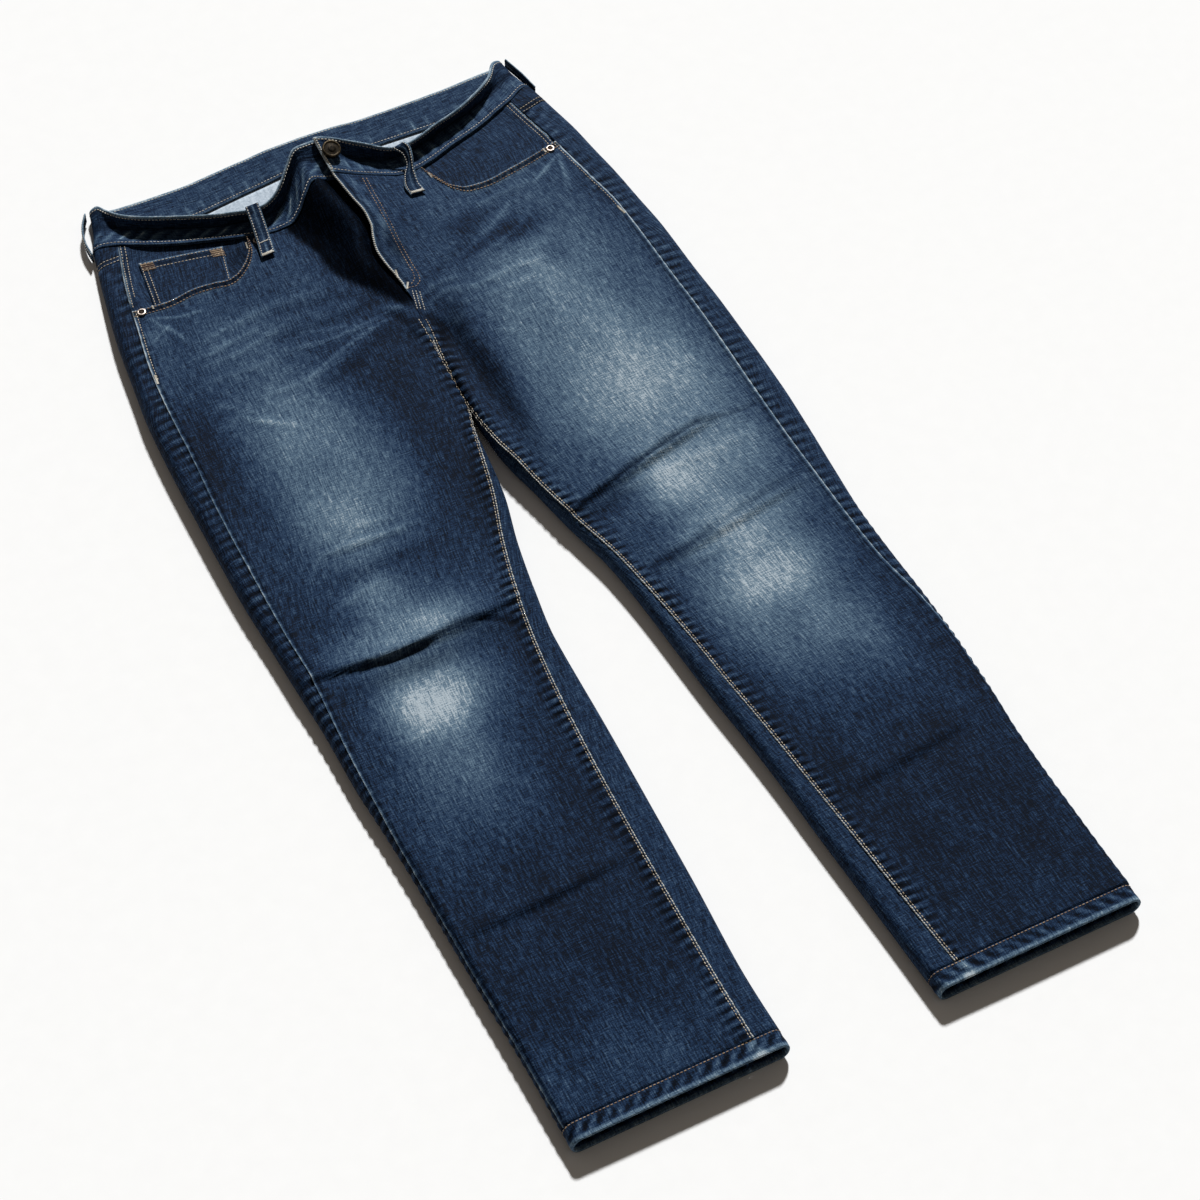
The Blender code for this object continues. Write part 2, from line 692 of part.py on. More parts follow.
def column_shares(count, edge, lean):
    """Shares from 0 to 1 with a narrow first and last column, and the rest leaning to the start."""
    inner = np.linspace(0.0, 1.0, count - 2)
    inner = (1.0 - lean) * inner + lean * inner ** 2
    return np.concatenate([[0.0], edge + (1.0 - 2.0 * edge) * inner, [1.0]])


# Columns of the panels' and the facings' grids
FRONT_SHARES = column_shares(19, 0.002, 0.3)
BACK_SHARES = column_shares(22, 0.001, 0.0)
FACING_SHARES = np.linspace(0.0, 1.0, 9)


def seam_line(side, shares):
    """Plan x of the front panel's columns along the waist seam, from the fly to the pocket's mouth."""
    start_x = float(MOUTHS[side].read("x", 0.0))
    fly_x = float(front_inner(side, FRONT_SEAMS.read("y", CRESTS.read("x", 427.0))))
    return fly_x + (start_x - fly_x) * shares / MOUTH_CORNER


def facing_line(side, shares):
    """Plan x of the facing's columns along the waist seam, from behind the panel to the outseam."""
    outward = OUTWARD[side]
    start_x = float(MOUTHS[side].read("x", 0.0)) - outward * MOUTH_LAP
    corner_x = float(LEGS[side].read("outseam", 452.0)) - outward * HALF_GAP
    return start_x + (corner_x - start_x) * shares


def mouth_border(side, shares):
    """Top border of the front panel in plan: the waist seam, then the pocket's mouth."""
    mouth = MOUTHS[side]
    on_seam = shares <= MOUTH_CORNER
    seam_x = seam_line(side, shares)
    along = np.clip((shares - MOUTH_CORNER) / (1.0 - MOUTH_CORNER), 0.0, 1.0)
    x = np.where(on_seam, seam_x, mouth.read("x", along))
    y = np.where(on_seam, FRONT_SEAMS.read("y", seam_x) - WAIST_GAP, mouth.read("y", along))
    return x, y


def front_grid(side, shares, rows_low, rows_high):
    """Points of a front panel: straight rows up the leg, then rows that bend to the border."""
    low = [front_point(side, shares, np.full(len(shares), y)) for y in rows_low]
    border_x, border_y = mouth_border(side, shares)
    inner = front_inner(side, border_y)
    outseam = LEGS[side].read("outseam", border_y) - OUTWARD[side] * HALF_GAP
    border_share = (border_x - inner) / (outseam - inner)
    border_share[0] = 0.0
    border_share[-1] = 1.0
    high = []
    for v in rows_high:
        y = SHAPED_FROM_Y + (border_y - SHAPED_FROM_Y) * v
        share = shares + (border_share - shares) * v
        high.append(front_point(side, share, y))
    return np.array(low + high)


def around(side, shares, y):
    """Points of the back's section, each at its own y."""
    points = np.empty((len(shares), 3))
    for i, share in enumerate(shares):
        x, z = resample(back_section(side, float(y[i])), np.array([share]))[0]
        points[i] = (x, y[i], z)
    return points


def border_rows(side, shares, start_y, border):
    """Plan y at each share where the back's section meets a seam, given as a function."""
    y = np.full(len(shares), start_y)
    for _ in range(4):
        points = around(side, shares, y)
        y = border(points)
    return y


def yoke_seam(points):
    """Plan y of the seam between back panel and yoke."""
    return YOKES.read("y", points[:, 0])


def waist_seam(side):
    """A function for the plan y of the waist seam, over the side roll from front to back."""

    def read(points):
        middle = ROLL_MIDDLE * LEGS[side].read("height", points[:, 1])
        on_top = smooth_step(-2.0, 2.0, points[:, 2] - middle)
        front = FRONT_SEAMS.read("y", points[:, 0])
        back = BACK_SEAMS.read("y", points[:, 0])
        return back + (front - back) * on_top

    return read


def back_grid(side, shares, rows_low, rows_high):
    """Points of a back panel: straight rows up the leg, then rows that bend to the yoke seam."""
    rows = []
    for y in rows_low:
        section = resample(back_section(side, y), shares)
        rows.append(np.stack([section[:, 0], np.full(len(shares), y), section[:, 1]], 1))
    border = border_rows(side, shares, 430.0, yoke_seam) - HALF_GAP
    for v in rows_high:
        rows.append(around(side, shares, SHAPED_FROM_Y + (border - SHAPED_FROM_Y) * v))
    return np.array(rows)


def yoke_grid(side, shares, rows):
    """Points of a yoke, from the back panel's border to the waist seam."""
    low = border_rows(side, shares, 430.0, yoke_seam) + HALF_GAP
    high = border_rows(side, shares, 460.0, waist_seam(side)) - WAIST_GAP
    return np.array([around(side, shares, low + (high - low) * v) for v in rows])


def facing_drop(side, x, y):
    """How far the facing lies under the front's outer face."""
    if side == "left":
        return np.full_like(x, FACING_DROP)
    middle_x = 0.5 * (COIN_TOP[0][0] + COIN_TOP[1][0])
    middle_y = 0.5 * (COIN_TOP[0][1] + COIN_FOOT[1][1])
    away = np.maximum(np.abs(x - middle_x) - 44.0, np.abs(y - middle_y) - 38.0)
    return FACING_DROP + COIN_DROP * (1.0 - smooth_step(2.0, 16.0, away))


def facing_grid(side, shares, rows):
    """Points of a pocket facing, from its hidden foot to the waist seam and the outseam."""
    foot = FACING_FEET[side]
    outward = OUTWARD[side]
    low_x = foot.read("x", shares)
    low_y = foot.read("y", shares)
    high_x = facing_line(side, shares)
    high_y = FRONT_SEAMS.read("y", high_x) - FACING_GAP
    grid = []
    for v in rows:
        y = low_y + (high_y - low_y) * v
        inner = front_inner(side, y)
        outseam = LEGS[side].read("outseam", y) - outward * HALF_GAP
        low_share = (low_x - inner) / (outseam - inner)
        high_share = (high_x - inner) / (outseam - inner)
        share = np.where(shares >= 1.0, 1.0, low_share + (high_share - low_share) * v)
        point = front_point(side, share, y)
        point[:, 2] -= facing_drop(side, point[:, 0], point[:, 1])
        grid.append(point)
    return np.array(grid)


def coin_grid(across, rows):
    """Points of the coin pocket on the right facing."""
    grid = []
    for v in rows:
        top = np.outer(1 - across, COIN_TOP[0]) + np.outer(across, COIN_TOP[1])
        foot = np.outer(1 - across, COIN_FOOT[0]) + np.outer(across, COIN_FOOT[1])
        x, y = (foot + (top - foot) * v).T
        grid.append(np.stack([x, y, top_height("right", x, y) - FACING_DROP], 1))
    return np.array(grid)


def band_stations(side):
    """Stations round one side of the waist: front, side roll, back to the centre.

    Each has its x and how far up the side roll it is: 1 on the front, 0 on the back.
    """
    outward = OUTWARD[side]
    inner = float(CRESTS.read("x", 427.0)) + outward * HALF_GAP
    if side == "right":
        inner += BAND_UNDERLAP
    rolled = BAND_SIDE_X[side] - outward * OUTER_ROLL
    on_panel = seam_line(side, FRONT_SHARES[FRONT_SHARES <= MOUTH_CORNER])
    on_facing = facing_line(side, FACING_SHARES)
    on_facing = on_facing[outward * (on_facing - on_panel[-1]) > 4.0]
    front = np.concatenate([[inner], on_panel[1:], on_facing, [rolled]])
    turn = np.linspace(0.0, np.pi, 7)[1:-1]
    back = np.linspace(rolled, BACK_LOOP_X, 8)
    x = np.concatenate([front, rolled + outward * OUTER_ROLL * np.sin(turn), back])
    top = np.concatenate([np.ones(len(front)), 0.5 + 0.5 * np.cos(turn), np.zeros(len(back))])
    return x, top


def band_lines(side, x, top):
    """Seam, crease and top edge of the waistband at its stations."""
    seam_y = BACK_SEAMS.read("y", x) + (FRONT_SEAMS.read("y", x) - BACK_SEAMS.read("y", x)) * top
    high = top_height(side, x, seam_y)
    low = lift(x, seam_y)
    roll_z = BAND_SIDE_HEIGHT * top
    seam_z = np.where(top > 0.999, high, np.where(top < 0.001, low, roll_z))
    offsets = {}
    for name in BAND_COLUMNS[1:]:
        front = FRONT_BANDS.read(name, x)
        back = BACK_BANDS.read(name, x)
        offsets[name] = back + (front - back) * top
    seam = np.stack([x, seam_y, seam_z], 1)
    lean = offsets["edge_lean"]
    rise = RIGHT_END_RISE * smooth_step(-42.0, -18.0, x) * top if side == "right" else np.zeros_like(x)
    crease_rise = offsets["crease_rise"] + 0.4 * rise
    crease = seam + np.stack([CREASE_SHARE * lean, offsets["crease_run"], crease_rise], 1)
    edge = seam + np.stack([lean, offsets["edge_run"], offsets["edge_rise"] + rise], 1)
    return seam, crease, edge


def band_point(seam, crease, edge, v):
    """A row of the waistband between its seam (0), its crease and its top edge (1), eased through."""
    rows = np.array([0.0, CREASE_SHARE, 1.0])
    lines = np.stack([seam, crease, edge])
    flat = lines.reshape(3, -1)
    table = Table(("v",) + tuple(range(flat.shape[1])), np.column_stack([rows, flat]))
    return np.array([table.read(i, v) for i in range(flat.shape[1])]).reshape(seam.shape)


def band_grid(rows):
    """Points of the whole waistband, from the left end at the fly round to the right end."""
    strips = []
    for side in ("left", "right"):
        x, top = band_stations(side)
        lines = band_lines(side, x, top)
        strips.append(np.array([band_point(*lines, v) for v in rows]))
    left, right = strips
    return np.concatenate([left, right[:, ::-1][:, 1:]], axis=1)


def hem_grid(side, count, rows):
    """Points of a turned-up hem: the whole section of the leg, at rows down to its end."""
    grid = []
    for v in rows:
        y = HEM_Y[side] + (HEM_DEPTH - SEAM_GAP) * (1.0 - v)
        top, under = ring(side, y)
        loop = np.vstack([top, under, top[:1]])
        section = resample(loop, count + 1)[:-1]
        grid.append(np.stack([section[:, 0], np.full(count, y), section[:, 1]], 1))
    return np.array(grid)


def loop_grid(rows, count, across):
    """Points of a belt loop: a strip along a smooth line, turned about it."""
    line = Table(LOOP_COLUMNS, rows)
    grid = []
    for along in np.linspace(0.0, 1.0, count):
        centre = np.array([float(line.read(name, along)) for name in ("x", "y", "z")])
        turn = math.radians(float(line.read("turn", along)))
        half = 0.5 * float(line.read("width", along))
        wide = np.array([math.cos(turn), 0.0, math.sin(turn)])
        grid.append([centre + wide * half * u for u in across])
    return np.array(grid)


def material(name, surface):
    """A plain Principled material for one piece, from a surface's word and values."""
    word, colour, roughness, metallic = surface
    made = bpy.data.materials.new(name.replace("_", " ").capitalize() + " " + word)
    made.use_nodes = True
    shader = made.node_tree.nodes["Principled BSDF"]
    shader.inputs["Base Color"].default_value = (*colour, 1.0)
    shader.inputs["Roughness"].default_value = roughness
    shader.inputs["Metallic"].default_value = metallic
    return made


def clear_scene():
    """Remove whatever the scene holds."""
    for item in list(bpy.data.objects):
        bpy.data.objects.remove(item, do_unlink=True)


def new_collection(name):
    """A collection linked to the scene."""
    made = bpy.data.collections.new(name)
    bpy.context.scene.collection.children.link(made)
    return made


def shifted(points):
    """Table millimetres to metres about the finished origin."""
    return (np.asarray(points, float) - (CENTRE_X, CENTRE_Y, 0.0)) * MM


def add_object(name, mesh, surface, collection):
    """Link a mesh as a named object with its material."""
    mesh.materials.append(material(name, surface))
    mesh.shade_smooth()
    made = bpy.data.objects.new(name, mesh)
    collection.objects.link(made)
    return made


def add_wall(made, thickness):
    """Thicken an open sheet inwards from its outer face."""
    wall = made.modifiers.new("Cloth", "SOLIDIFY")
    wall.thickness = thickness * MM
    wall.offset = -1.0
    wall.use_rim = True


def sheet_object(name, grid, thickness, surface, collection, flip=False, closed=False):
    """A cloth piece: an open grid of outer points, thickened inwards."""
    rows, columns = grid.shape[:2]
    faces = []
    for r in range(rows - 1):
        for c in range(columns if closed else columns - 1):
            d = (c + 1) % columns
            face = (r * columns + c, r * columns + d, (r + 1) * columns + d, (r + 1) * columns + c)
            faces.append(face[::-1] if flip else face)
    mesh = bpy.data.meshes.new(name)
    mesh.from_pydata([tuple(p) for p in shifted(grid.reshape(-1, 3))], [], faces)
    made = add_object(name, mesh, surface, collection)
    add_wall(made, thickness)
    return made


def flat_patch(name, outline, top, thickness, surface, collection):
    """A flat piece of cloth: one face with its outer side down, thickened upwards."""
    mesh = bpy.data.meshes.new(name)
    points = shifted([(x, y, top) for x, y in outline])
    mesh.from_pydata([tuple(p) for p in points], [], [tuple(range(len(outline)))])
    made = add_object(name, mesh, surface, collection)
    mesh.shade_flat()
    add_wall(made, thickness)
    return made


def disc(name, middle, normal, radius, height, surface, collection):
    """A round metal piece that stands on the cloth, with an eased rim."""
    mesh = bpy.data.meshes.new(name)
    shape = bmesh.new()
    bmesh.ops.create_cone(
        shape, cap_ends=True, segments=20, radius1=radius * MM, radius2=radius * MM, depth=height * MM
    )
    rim = [edge for edge in shape.edges if all(v.co.z > 0.0 for v in edge.verts)]
    bmesh.ops.bevel(shape, geom=rim, offset=0.3 * height * MM, segments=2, affect="EDGES")
    shape.to_mesh(mesh)
    shape.free()
    made = add_object(name, mesh, surface, collection)
    upright = Vector(normal).normalized()
    made.rotation_euler = upright.to_track_quat("Z", "Y").to_euler()
    made.location = Vector(shifted(middle)) + upright * (0.5 * height + SEAM_GAP) * MM
    return made


def surface_normal(side, x, y):
    """Outward direction of the front at a place in plan."""
    step = 3.0
    slope_x = float(top_height(side, x + step, y) - top_height(side, x - step, y)) / (2 * step)
    slope_y = float(top_height(side, x, y + step) - top_height(side, x, y - step)) / (2 * step)
    return (-slope_x, -slope_y, 1.0)


def build_side(side, collection):
    """Panels, yoke, facing, hem and back pocket of one side."""
    flip = side == "right"
    rows_low = row_stations(HEM_Y[side] + HEM_DEPTH, SHAPED_FROM_Y, 40.0, CLOSE_ROWS[side])
    front = front_grid(side, FRONT_SHARES, rows_low, np.linspace(0.0, 1.0, 9)[1:])
    sheet_object("front_" + side, front, CLOTH, DENIM, collection, flip)
    back = back_grid(side, BACK_SHARES, rows_low, np.linspace(0.0, 1.0, 5)[1:])
    sheet_object("back_" + side, back, CLOTH, DENIM, collection, flip)
    yoke = yoke_grid(side, BACK_SHARES, np.linspace(0.0, 1.0, 3))
    sheet_object("yoke_" + side, yoke, CLOTH, DENIM, collection, flip)
    facing = facing_grid(side, FACING_SHARES, np.linspace(0.0, 1.0, 6))
    sheet_object("facing_" + side, facing, CLOTH, DENIM, collection, flip)
    hem = hem_grid(side, 34, np.linspace(1.0, 0.0, 3))
    sheet_object("hem_" + side, hem, HEM_CLOTH, DENIM, collection, flip, closed=True)
    middle_x, middle_y = BACK_POCKET_MIDDLES[side]
    outline = [(middle_x + x, middle_y + y) for x, y in BACK_POCKET_OUTLINE]
    flat_patch("back_pocket_" + side, outline, 0.0, BACK_POCKET_CLOTH, DENIM, collection)


def build_trim(collection):
    """Coin pocket, waistband, belt loops, button and rivets."""
    coin = coin_grid(np.linspace(0.0, 1.0, 6), np.linspace(0.0, 1.0, 5))
    sheet_object("coin_pocket", coin, POCKET_CLOTH, DENIM, collection)
    band = band_grid(np.linspace(0.0, 1.0, 6))
    sheet_object("waistband", band, BAND_CLOTH, DENIM, collection)
    for name, (rows, count, flip) in LOOPS.items():
        strip = loop_grid(rows, count, np.linspace(-1.0, 1.0, 3))
        sheet_object(name, strip, LOOP_CLOTH, DENIM, collection, flip)
    flat_patch("loop_back", BACK_LOOP_OUTLINE, 0.0, LOOP_CLOTH, DENIM, collection)
    disc("button", BUTTON_MIDDLE, BUTTON_NORMAL, BUTTON_RADIUS, BUTTON_HEIGHT, AGED_BRASS, collection)
    for name, (side, x, y) in RIVETS.items():
        normal = surface_normal(side, x, y)
        middle = (x, y, float(top_height(side, x, y)) + RIVET_LIFT)
        disc(name, middle, normal, RIVET_RADIUS, RIVET_HEIGHT, WORN_COPPER, collection)


def main():
    clear_scene()
    jeans = new_collection("Jeans")
    for side in ("right", "left"):
        build_side(side, jeans)
    build_trim(jeans)
    return jeans


if __name__ == "__main__":
    main()
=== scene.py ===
"""Blue five-pocket jeans lying flat on a white floor, front up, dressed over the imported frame.

The tables are the maker's own measures in millimetres: x runs to the wearer's left from the
centre front, y runs to the waist, z runs up from the floor. The finished pieces are in metres
about the frame's origin, which lies under the middle of the garment.
"""

import math

import bmesh
import bpy
import numpy as np
from mathutils import Matrix, Vector
from mathutils.bvhtree import BVHTree


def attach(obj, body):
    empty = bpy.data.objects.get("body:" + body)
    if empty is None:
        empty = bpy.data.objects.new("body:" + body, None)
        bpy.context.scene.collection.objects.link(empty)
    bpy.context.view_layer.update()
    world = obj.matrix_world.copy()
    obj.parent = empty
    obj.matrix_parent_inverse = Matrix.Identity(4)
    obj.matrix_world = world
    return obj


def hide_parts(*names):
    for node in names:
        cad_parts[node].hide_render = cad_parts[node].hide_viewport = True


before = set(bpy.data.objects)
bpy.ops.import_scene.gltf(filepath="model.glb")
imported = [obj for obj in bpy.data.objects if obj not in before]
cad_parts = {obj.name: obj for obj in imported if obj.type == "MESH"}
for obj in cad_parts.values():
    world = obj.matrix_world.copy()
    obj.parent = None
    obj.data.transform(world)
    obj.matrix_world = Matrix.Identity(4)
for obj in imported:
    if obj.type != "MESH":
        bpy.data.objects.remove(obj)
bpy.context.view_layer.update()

MM = 0.001

# Middle of the garment's outline in the tables' own x and y
CENTRE_X = -14.07
CENTRE_Y = -5.77

# Cloth
CLOTH = 1.6
SEAM_GAP = 0.3
HALF_GAP = 0.5 * SEAM_GAP

# Side rolls of the legs
OUTER_ROLL = 9.0
INNER_ROLL = 8.0
ROLL_MIDDLE = 0.5

# The crotch, where the four panels meet
LEGS_PART_Y = 155.0
CROTCH_Y = 255.0
CROTCH_LOW_Y = 240.0
CROTCH_HIGH_Y = 270.0

# Fly
FLY_FOOT_Y = 284.0
FLY_FULL_Y = 300.0
FLY_UNDERLAP = 12.0
BAND_UNDERLAP = 13.0

# Hems
HEM_DEPTH = 15.0
RIGHT_HEM_Y = -510.0
LEFT_HEM_Y = -522.0

# Rows where the panels leave straight rows to follow the pockets and the waist
SHAPED_FROM_Y = 320.0

# Metal
BUTTON_RADIUS = 8.5
BUTTON_HEIGHT = 3.0
RIVET_RADIUS = 4.0
RIVET_HEIGHT = 1.4

LEG_COLUMNS = ("y", "outer", "outseam", "inseam", "inner", "height")

RIGHT_LEG = (
    (-512, -246.0, -244.8, -86.5, -64.0, 20.0),
    (-450, -246.5, -245.0, -86.5, -65.0, 19.0),
    (-350, -249.0, -247.5, -85.0, -60.5, 19.0),
    (-250, -251.5, -249.5, -82.0, -57.0, 19.0),
    (-200, -254.0, -250.5, -79.5, -55.5, 19.0),
    (-150, -257.0, -250.5, -76.0, -54.5, 19.0),
    (-100, -257.5, -248.8, -70.5, -53.0, 19.5),
    (-50, -260.0, -246.8, -62.0, -46.5, 20.0),
    (0, -262.0, -248.4, -50.0, -38.0, 20.0),
    (55, -264.5, -248.6, -33.5, -25.0, 21.0),
    (95, -265.0, -248.6, -25.0, -20.0, 22.0),
    (120, -265.2, -248.2, -20.0, -17.5, 22.0),
    (155, -265.2, -247.0, -12.6, -12.4, 22.0),
    (200, -264.5, -244.6, -11.2, -11.0, 22.0),
    (255, -262.0, -243.0, -8.2, -8.0, 22.0),
    (300, -257.0, -239.5, -8.2, -8.0, 21.0),
    (350, -251.0, -231.3, -8.2, -8.0, 20.0),
    (400, -242.0, -222.3, -8.2, -8.0, 17.0),
    (430, -236.0, -215.0, -8.2, -8.0, 14.5),
    (455, -230.6, -208.0, -8.2, -8.0, 13.5),
    (480, -226.5, -203.0, -8.2, -8.0, 13.0),
)

LEFT_LEG = (
    (-524, 235.5, 234.4, 80.0, 57.0, 20.0),
    (-450, 233.5, 232.4, 72.5, 52.0, 19.0),
    (-350, 232.5, 231.3, 63.0, 45.0, 19.0),
    (-300, 235.0, 233.6, 58.0, 42.0, 19.0),
    (-250, 236.0, 233.5, 53.0, 38.0, 19.0),
    (-200, 235.0, 228.5, 47.0, 33.0, 19.0),
    (-150, 232.5, 219.5, 41.5, 29.0, 19.0),
    (-100, 231.0, 215.8, 34.5, 25.0, 19.5),
    (-50, 233.0, 213.8, 26.0, 19.0, 20.0),
    (0, 235.5, 212.2, 13.0, 8.0, 20.0),
    (50, 237.0, 211.8, 1.8, -2.0, 21.0),
    (75, 237.0, 211.8, -3.4, -8.0, 21.5),
    (100, 236.7, 211.8, -8.8, -11.6, 22.0),
    (135, 236.4, 211.4, -11.9, -12.8, 22.0),
    (155, 236.0, 211.0, -12.2, -12.4, 22.0),
    (200, 233.5, 209.0, -10.8, -11.0, 22.0),
    (255, 231.5, 207.4, -7.8, -8.0, 22.0),
    (295, 228.0, 205.4, -7.8, -8.0, 21.0),
    (335, 224.5, 198.7, -7.8, -8.0, 20.0),
    (368, 220.5, 193.9, -7.8, -8.0, 18.5),
    (400, 217.0, 188.6, -7.8, -8.0, 17.0),
    (430, 212.2, 183.4, -7.8, -8.0, 14.5),
    (456, 207.4, 178.4, -7.8, -8.0, 13.5),
    (480, 201.8, 174.0, -7.8, -8.0, 13.0),
)

# Height of the front along the middle of each leg, and the fly's ridge on top of it
TOP_COLUMNS = ("y", "crown", "ridge", "ridge_width", "valley")
TOP = (
    (-524, 20.5, 0.0, 0.40, 0.0),
    (-300, 20.5, 0.0, 0.40, 0.0),
    (-100, 21.5, 0.0, 0.40, 0.0),
    (0, 22.0, 0.0, 0.40, 0.0),
    (100, 24.0, 0.0, 0.40, 0.0),
    (200, 25.5, 0.0, 0.40, 0.0),
    (258, 25.0, 0.0, 0.40, 0.0),
    (284, 24.5, 3.0, 0.42, 3.2),
    (307, 24.0, 6.0, 0.48, 5.0),
    (343, 23.0, 11.0, 0.58, 7.5),
    (367, 22.0, 15.0, 0.68, 8.5),
    (391, 20.0, 19.0, 0.80, 9.0),
    (430, 16.5, 25.0, 1.00, 9.0),
    (480, 16.0, 30.0, 1.05, 9.0),
)

# Plan of the fly's free edge, which is the ridge's crest
CREST_COLUMNS = ("y", "x")
CREST = (
    (150, -12.4),
    (200, -11.0),
    (255, -8.0),
    (270, -6.4),
    (285, -7.5),
    (301, -9.6),
    (316, -12.4),
    (330, -13.4),
    (345, -10.5),
    (359, -6.2),
    (372, -5.5),
    (392, -8.6),
    (410, -11.0),
    (427, -12.8),
    (462, -13.3),
)

# Share of the ridge's height across it, from the crest to each side
RIDGE_COLUMNS = ("across", "share")
RIDGE = (
    (-82, 0.0),
    (-62, 0.07),
    (-46, 0.38),
    (-35, 0.68),
    (-24, 0.92),
    (-13, 1.0),
    (0, 1.0),
    (12, 0.86),
    (28, 0.58),
    (40, 0.38),
    (52, 0.22),
    (66, 0.09),
    (86, 0.0),
)

# Long folds across the legs: a crest line in plan, how high and how deep
FOLD_COLUMNS = ("start_x", "start_y", "mid_x", "mid_y", "end_x", "end_y", "rise", "dip", "above", "below")
RIGHT_FOLDS = (
    (-262, -47, -185, -71, -56, -50, 4.5, 2.0, 30, 26),
    (-252, -318, -175, -322, -95, -312, 2.0, 1.2, 26, 20),
)
LEFT_FOLDS = (
    (4, 4, 77, 22, 172, 42, 4.0, 2.0, 28, 24),
    (40, -80, 118, -68, 205, -52, 2.2, 1.4, 26, 22),
    (84, -338, 140, -332, 205, -322, 1.6, 1.0, 26, 20),
)

# Trough in the left thigh beside the inseam
TROUGH_COLUMNS = ("y", "x", "depth")
TROUGH = (
    (80, 10.0, 0.0),
    (130, 12.0, 3.5),
    (160, 14.0, 5.0),
    (200, 9.0, 5.0),
    (240, 6.0, 4.5),
    (270, 10.0, 2.0),
    (290, 12.0, 0.0),
)
TROUGH_WIDTH = 13.0

# Waist seam of the front, in plan
FRONT_SEAM_COLUMNS = ("x", "y")
FRONT_SEAM = (
    (-232, 462.5),
    (-215, 459.3),
    (-200, 452.0),
    (-180, 441.5),
    (-160, 432.0),
    (-140, 424.6),
    (-120, 417.0),
    (-97.5, 409.3),
    (-78, 404.0),
    (-66, 404.0),
    (-57.5, 406.5),
    (-49, 411.0),
    (-42, 417.5),
    (-35, 424.0),
    (-27, 426.5),
    (-12, 426.5),
    (0, 423.0),
    (16, 420.3),
    (28, 418.8),
    (39, 416.4),
    (50, 414.5),
    (64, 416.4),
    (80, 420.1),
    (100, 427.6),
    (120, 434.0),
    (140, 440.4),
    (160, 450.0),
    (180, 459.0),
    (195, 468.0),
    (205, 470.5),
)

# Waist seam of the back, in plan
BACK_SEAM_COLUMNS = ("x", "y")
BACK_SEAM = (
    (-232, 462.5),
    (-215, 465.0),
    (-125, 467.2),
    (-95, 471.0),
    (-55, 475.0),
    (-10, 477.0),
    (50, 473.5),
    (100, 471.5),
    (150, 470.5),
    (195, 472.0),
    (205, 470.5),
)

# Seam between back panel and yoke
YOKE_COLUMNS = ("x", "y")
YOKE = (
    (-240, 436.0),
    (-214, 436.0),
    (-120, 420.0),
    (-8, 400.0),
    (100, 420.0),
    (184, 437.0),
    (210, 445.0),
)

# The waistband at stations along the waist seam: where its crease and its top edge lie,
# measured from the seam in y and in height, and how far the top edge leans to the side
BAND_COLUMNS = ("x", "crease_run", "crease_rise", "edge_lean", "edge_run", "edge_rise")
FRONT_BAND = (
    (-232, 21.0, 0.5, 14.0, 44.0, 2.5),
    (-225, 21.0, -0.5, 14.0, 44.0, 3.0),
    (-215, 22.0, -1.5, 9.0, 41.0, 4.0),
    (-200, 23.5, -2.5, -1.0, 33.5, 6.5),
    (-180, 23.5, -3.0, -2.7, 23.6, 11.5),
    (-160, 22.7, -3.0, -3.0, 22.0, 12.0),
    (-140, 20.6, -3.0, -3.5, 19.6, 12.5),
    (-120, 18.7, -3.0, -3.7, 18.0, 12.5),
    (-97, 20.5, -3.0, -4.0, 18.0, 12.5),
    (-78, 21.0, -2.0, -5.0, 19.0, 12.5),
    (-66, 21.0, -0.5, -6.0, 22.0, 13.0),
    (-49, 21.0, 1.0, -5.5, 26.0, 11.5),
    (-35, 21.0, 2.5, -4.5, 28.0, 10.0),
    (-22, 21.5, 4.0, -3.3, 32.0, 10.0),
    (-12, 21.5, 6.0, -1.7, 34.6, 11.0),
    (0, 22.0, 5.5, -2.5, 34.5, 13.5),
    (12, 22.0, 2.5, -5.0, 33.0, 15.5),
    (28, 22.5, -0.5, -6.5, 29.0, 16.0),
    (39, 23.0, -2.0, -6.0, 26.0, 15.5),
    (50, 23.5, -2.5, -6.0, 22.5, 13.5),
    (64, 23.6, -3.0, -5.0, 18.2, 12.0),
    (80, 23.6, -3.5, -4.8, 17.3, 12.0),
    (100, 22.1, -3.5, -5.0, 17.3, 12.5),
    (120, 21.5, -3.0, -5.0, 16.4, 13.0),
    (140, 21.0, -2.5, -5.0, 18.0, 13.0),
    (160, 19.5, -2.0, -5.0, 20.0, 12.5),
    (180, 19.7, -2.0, -8.0, 26.0, 9.5),
    (196, 19.0, -0.5, -10.0, 37.0, 4.0),
    (205, 19.0, 0.5, -9.5, 38.5, 2.5),
)
BACK_BAND = (
    (-232, 21.0, 0.5, 14.0, 44.0, 2.5),
    (-225, 21.0, 0.0, 14.0, 44.0, 0.0),
    (-200, 22.0, 0.0, 5.0, 41.0, 0.0),
    (-150, 22.0, 0.0, 0.0, 38.0, 0.0),
    (-100, 22.0, 0.0, 0.0, 36.0, 0.0),
    (-54, 21.0, 0.0, 0.0, 35.0, 0.0),
    (-10, 21.0, 0.0, 0.0, 33.5, 0.0),
    (50, 21.0, 0.0, 0.0, 34.5, 0.0),
    (100, 21.5, 0.0, 0.0, 36.0, 0.0),
    (150, 22.0, 0.0, 0.0, 38.0, 0.0),
    (180, 21.0, 0.0, -3.0, 39.5, 0.0),
    (197, 20.0, 0.0, -9.5, 38.5, 0.0),
    (205, 19.0, 0.5, -9.5, 38.5, 2.5),
)

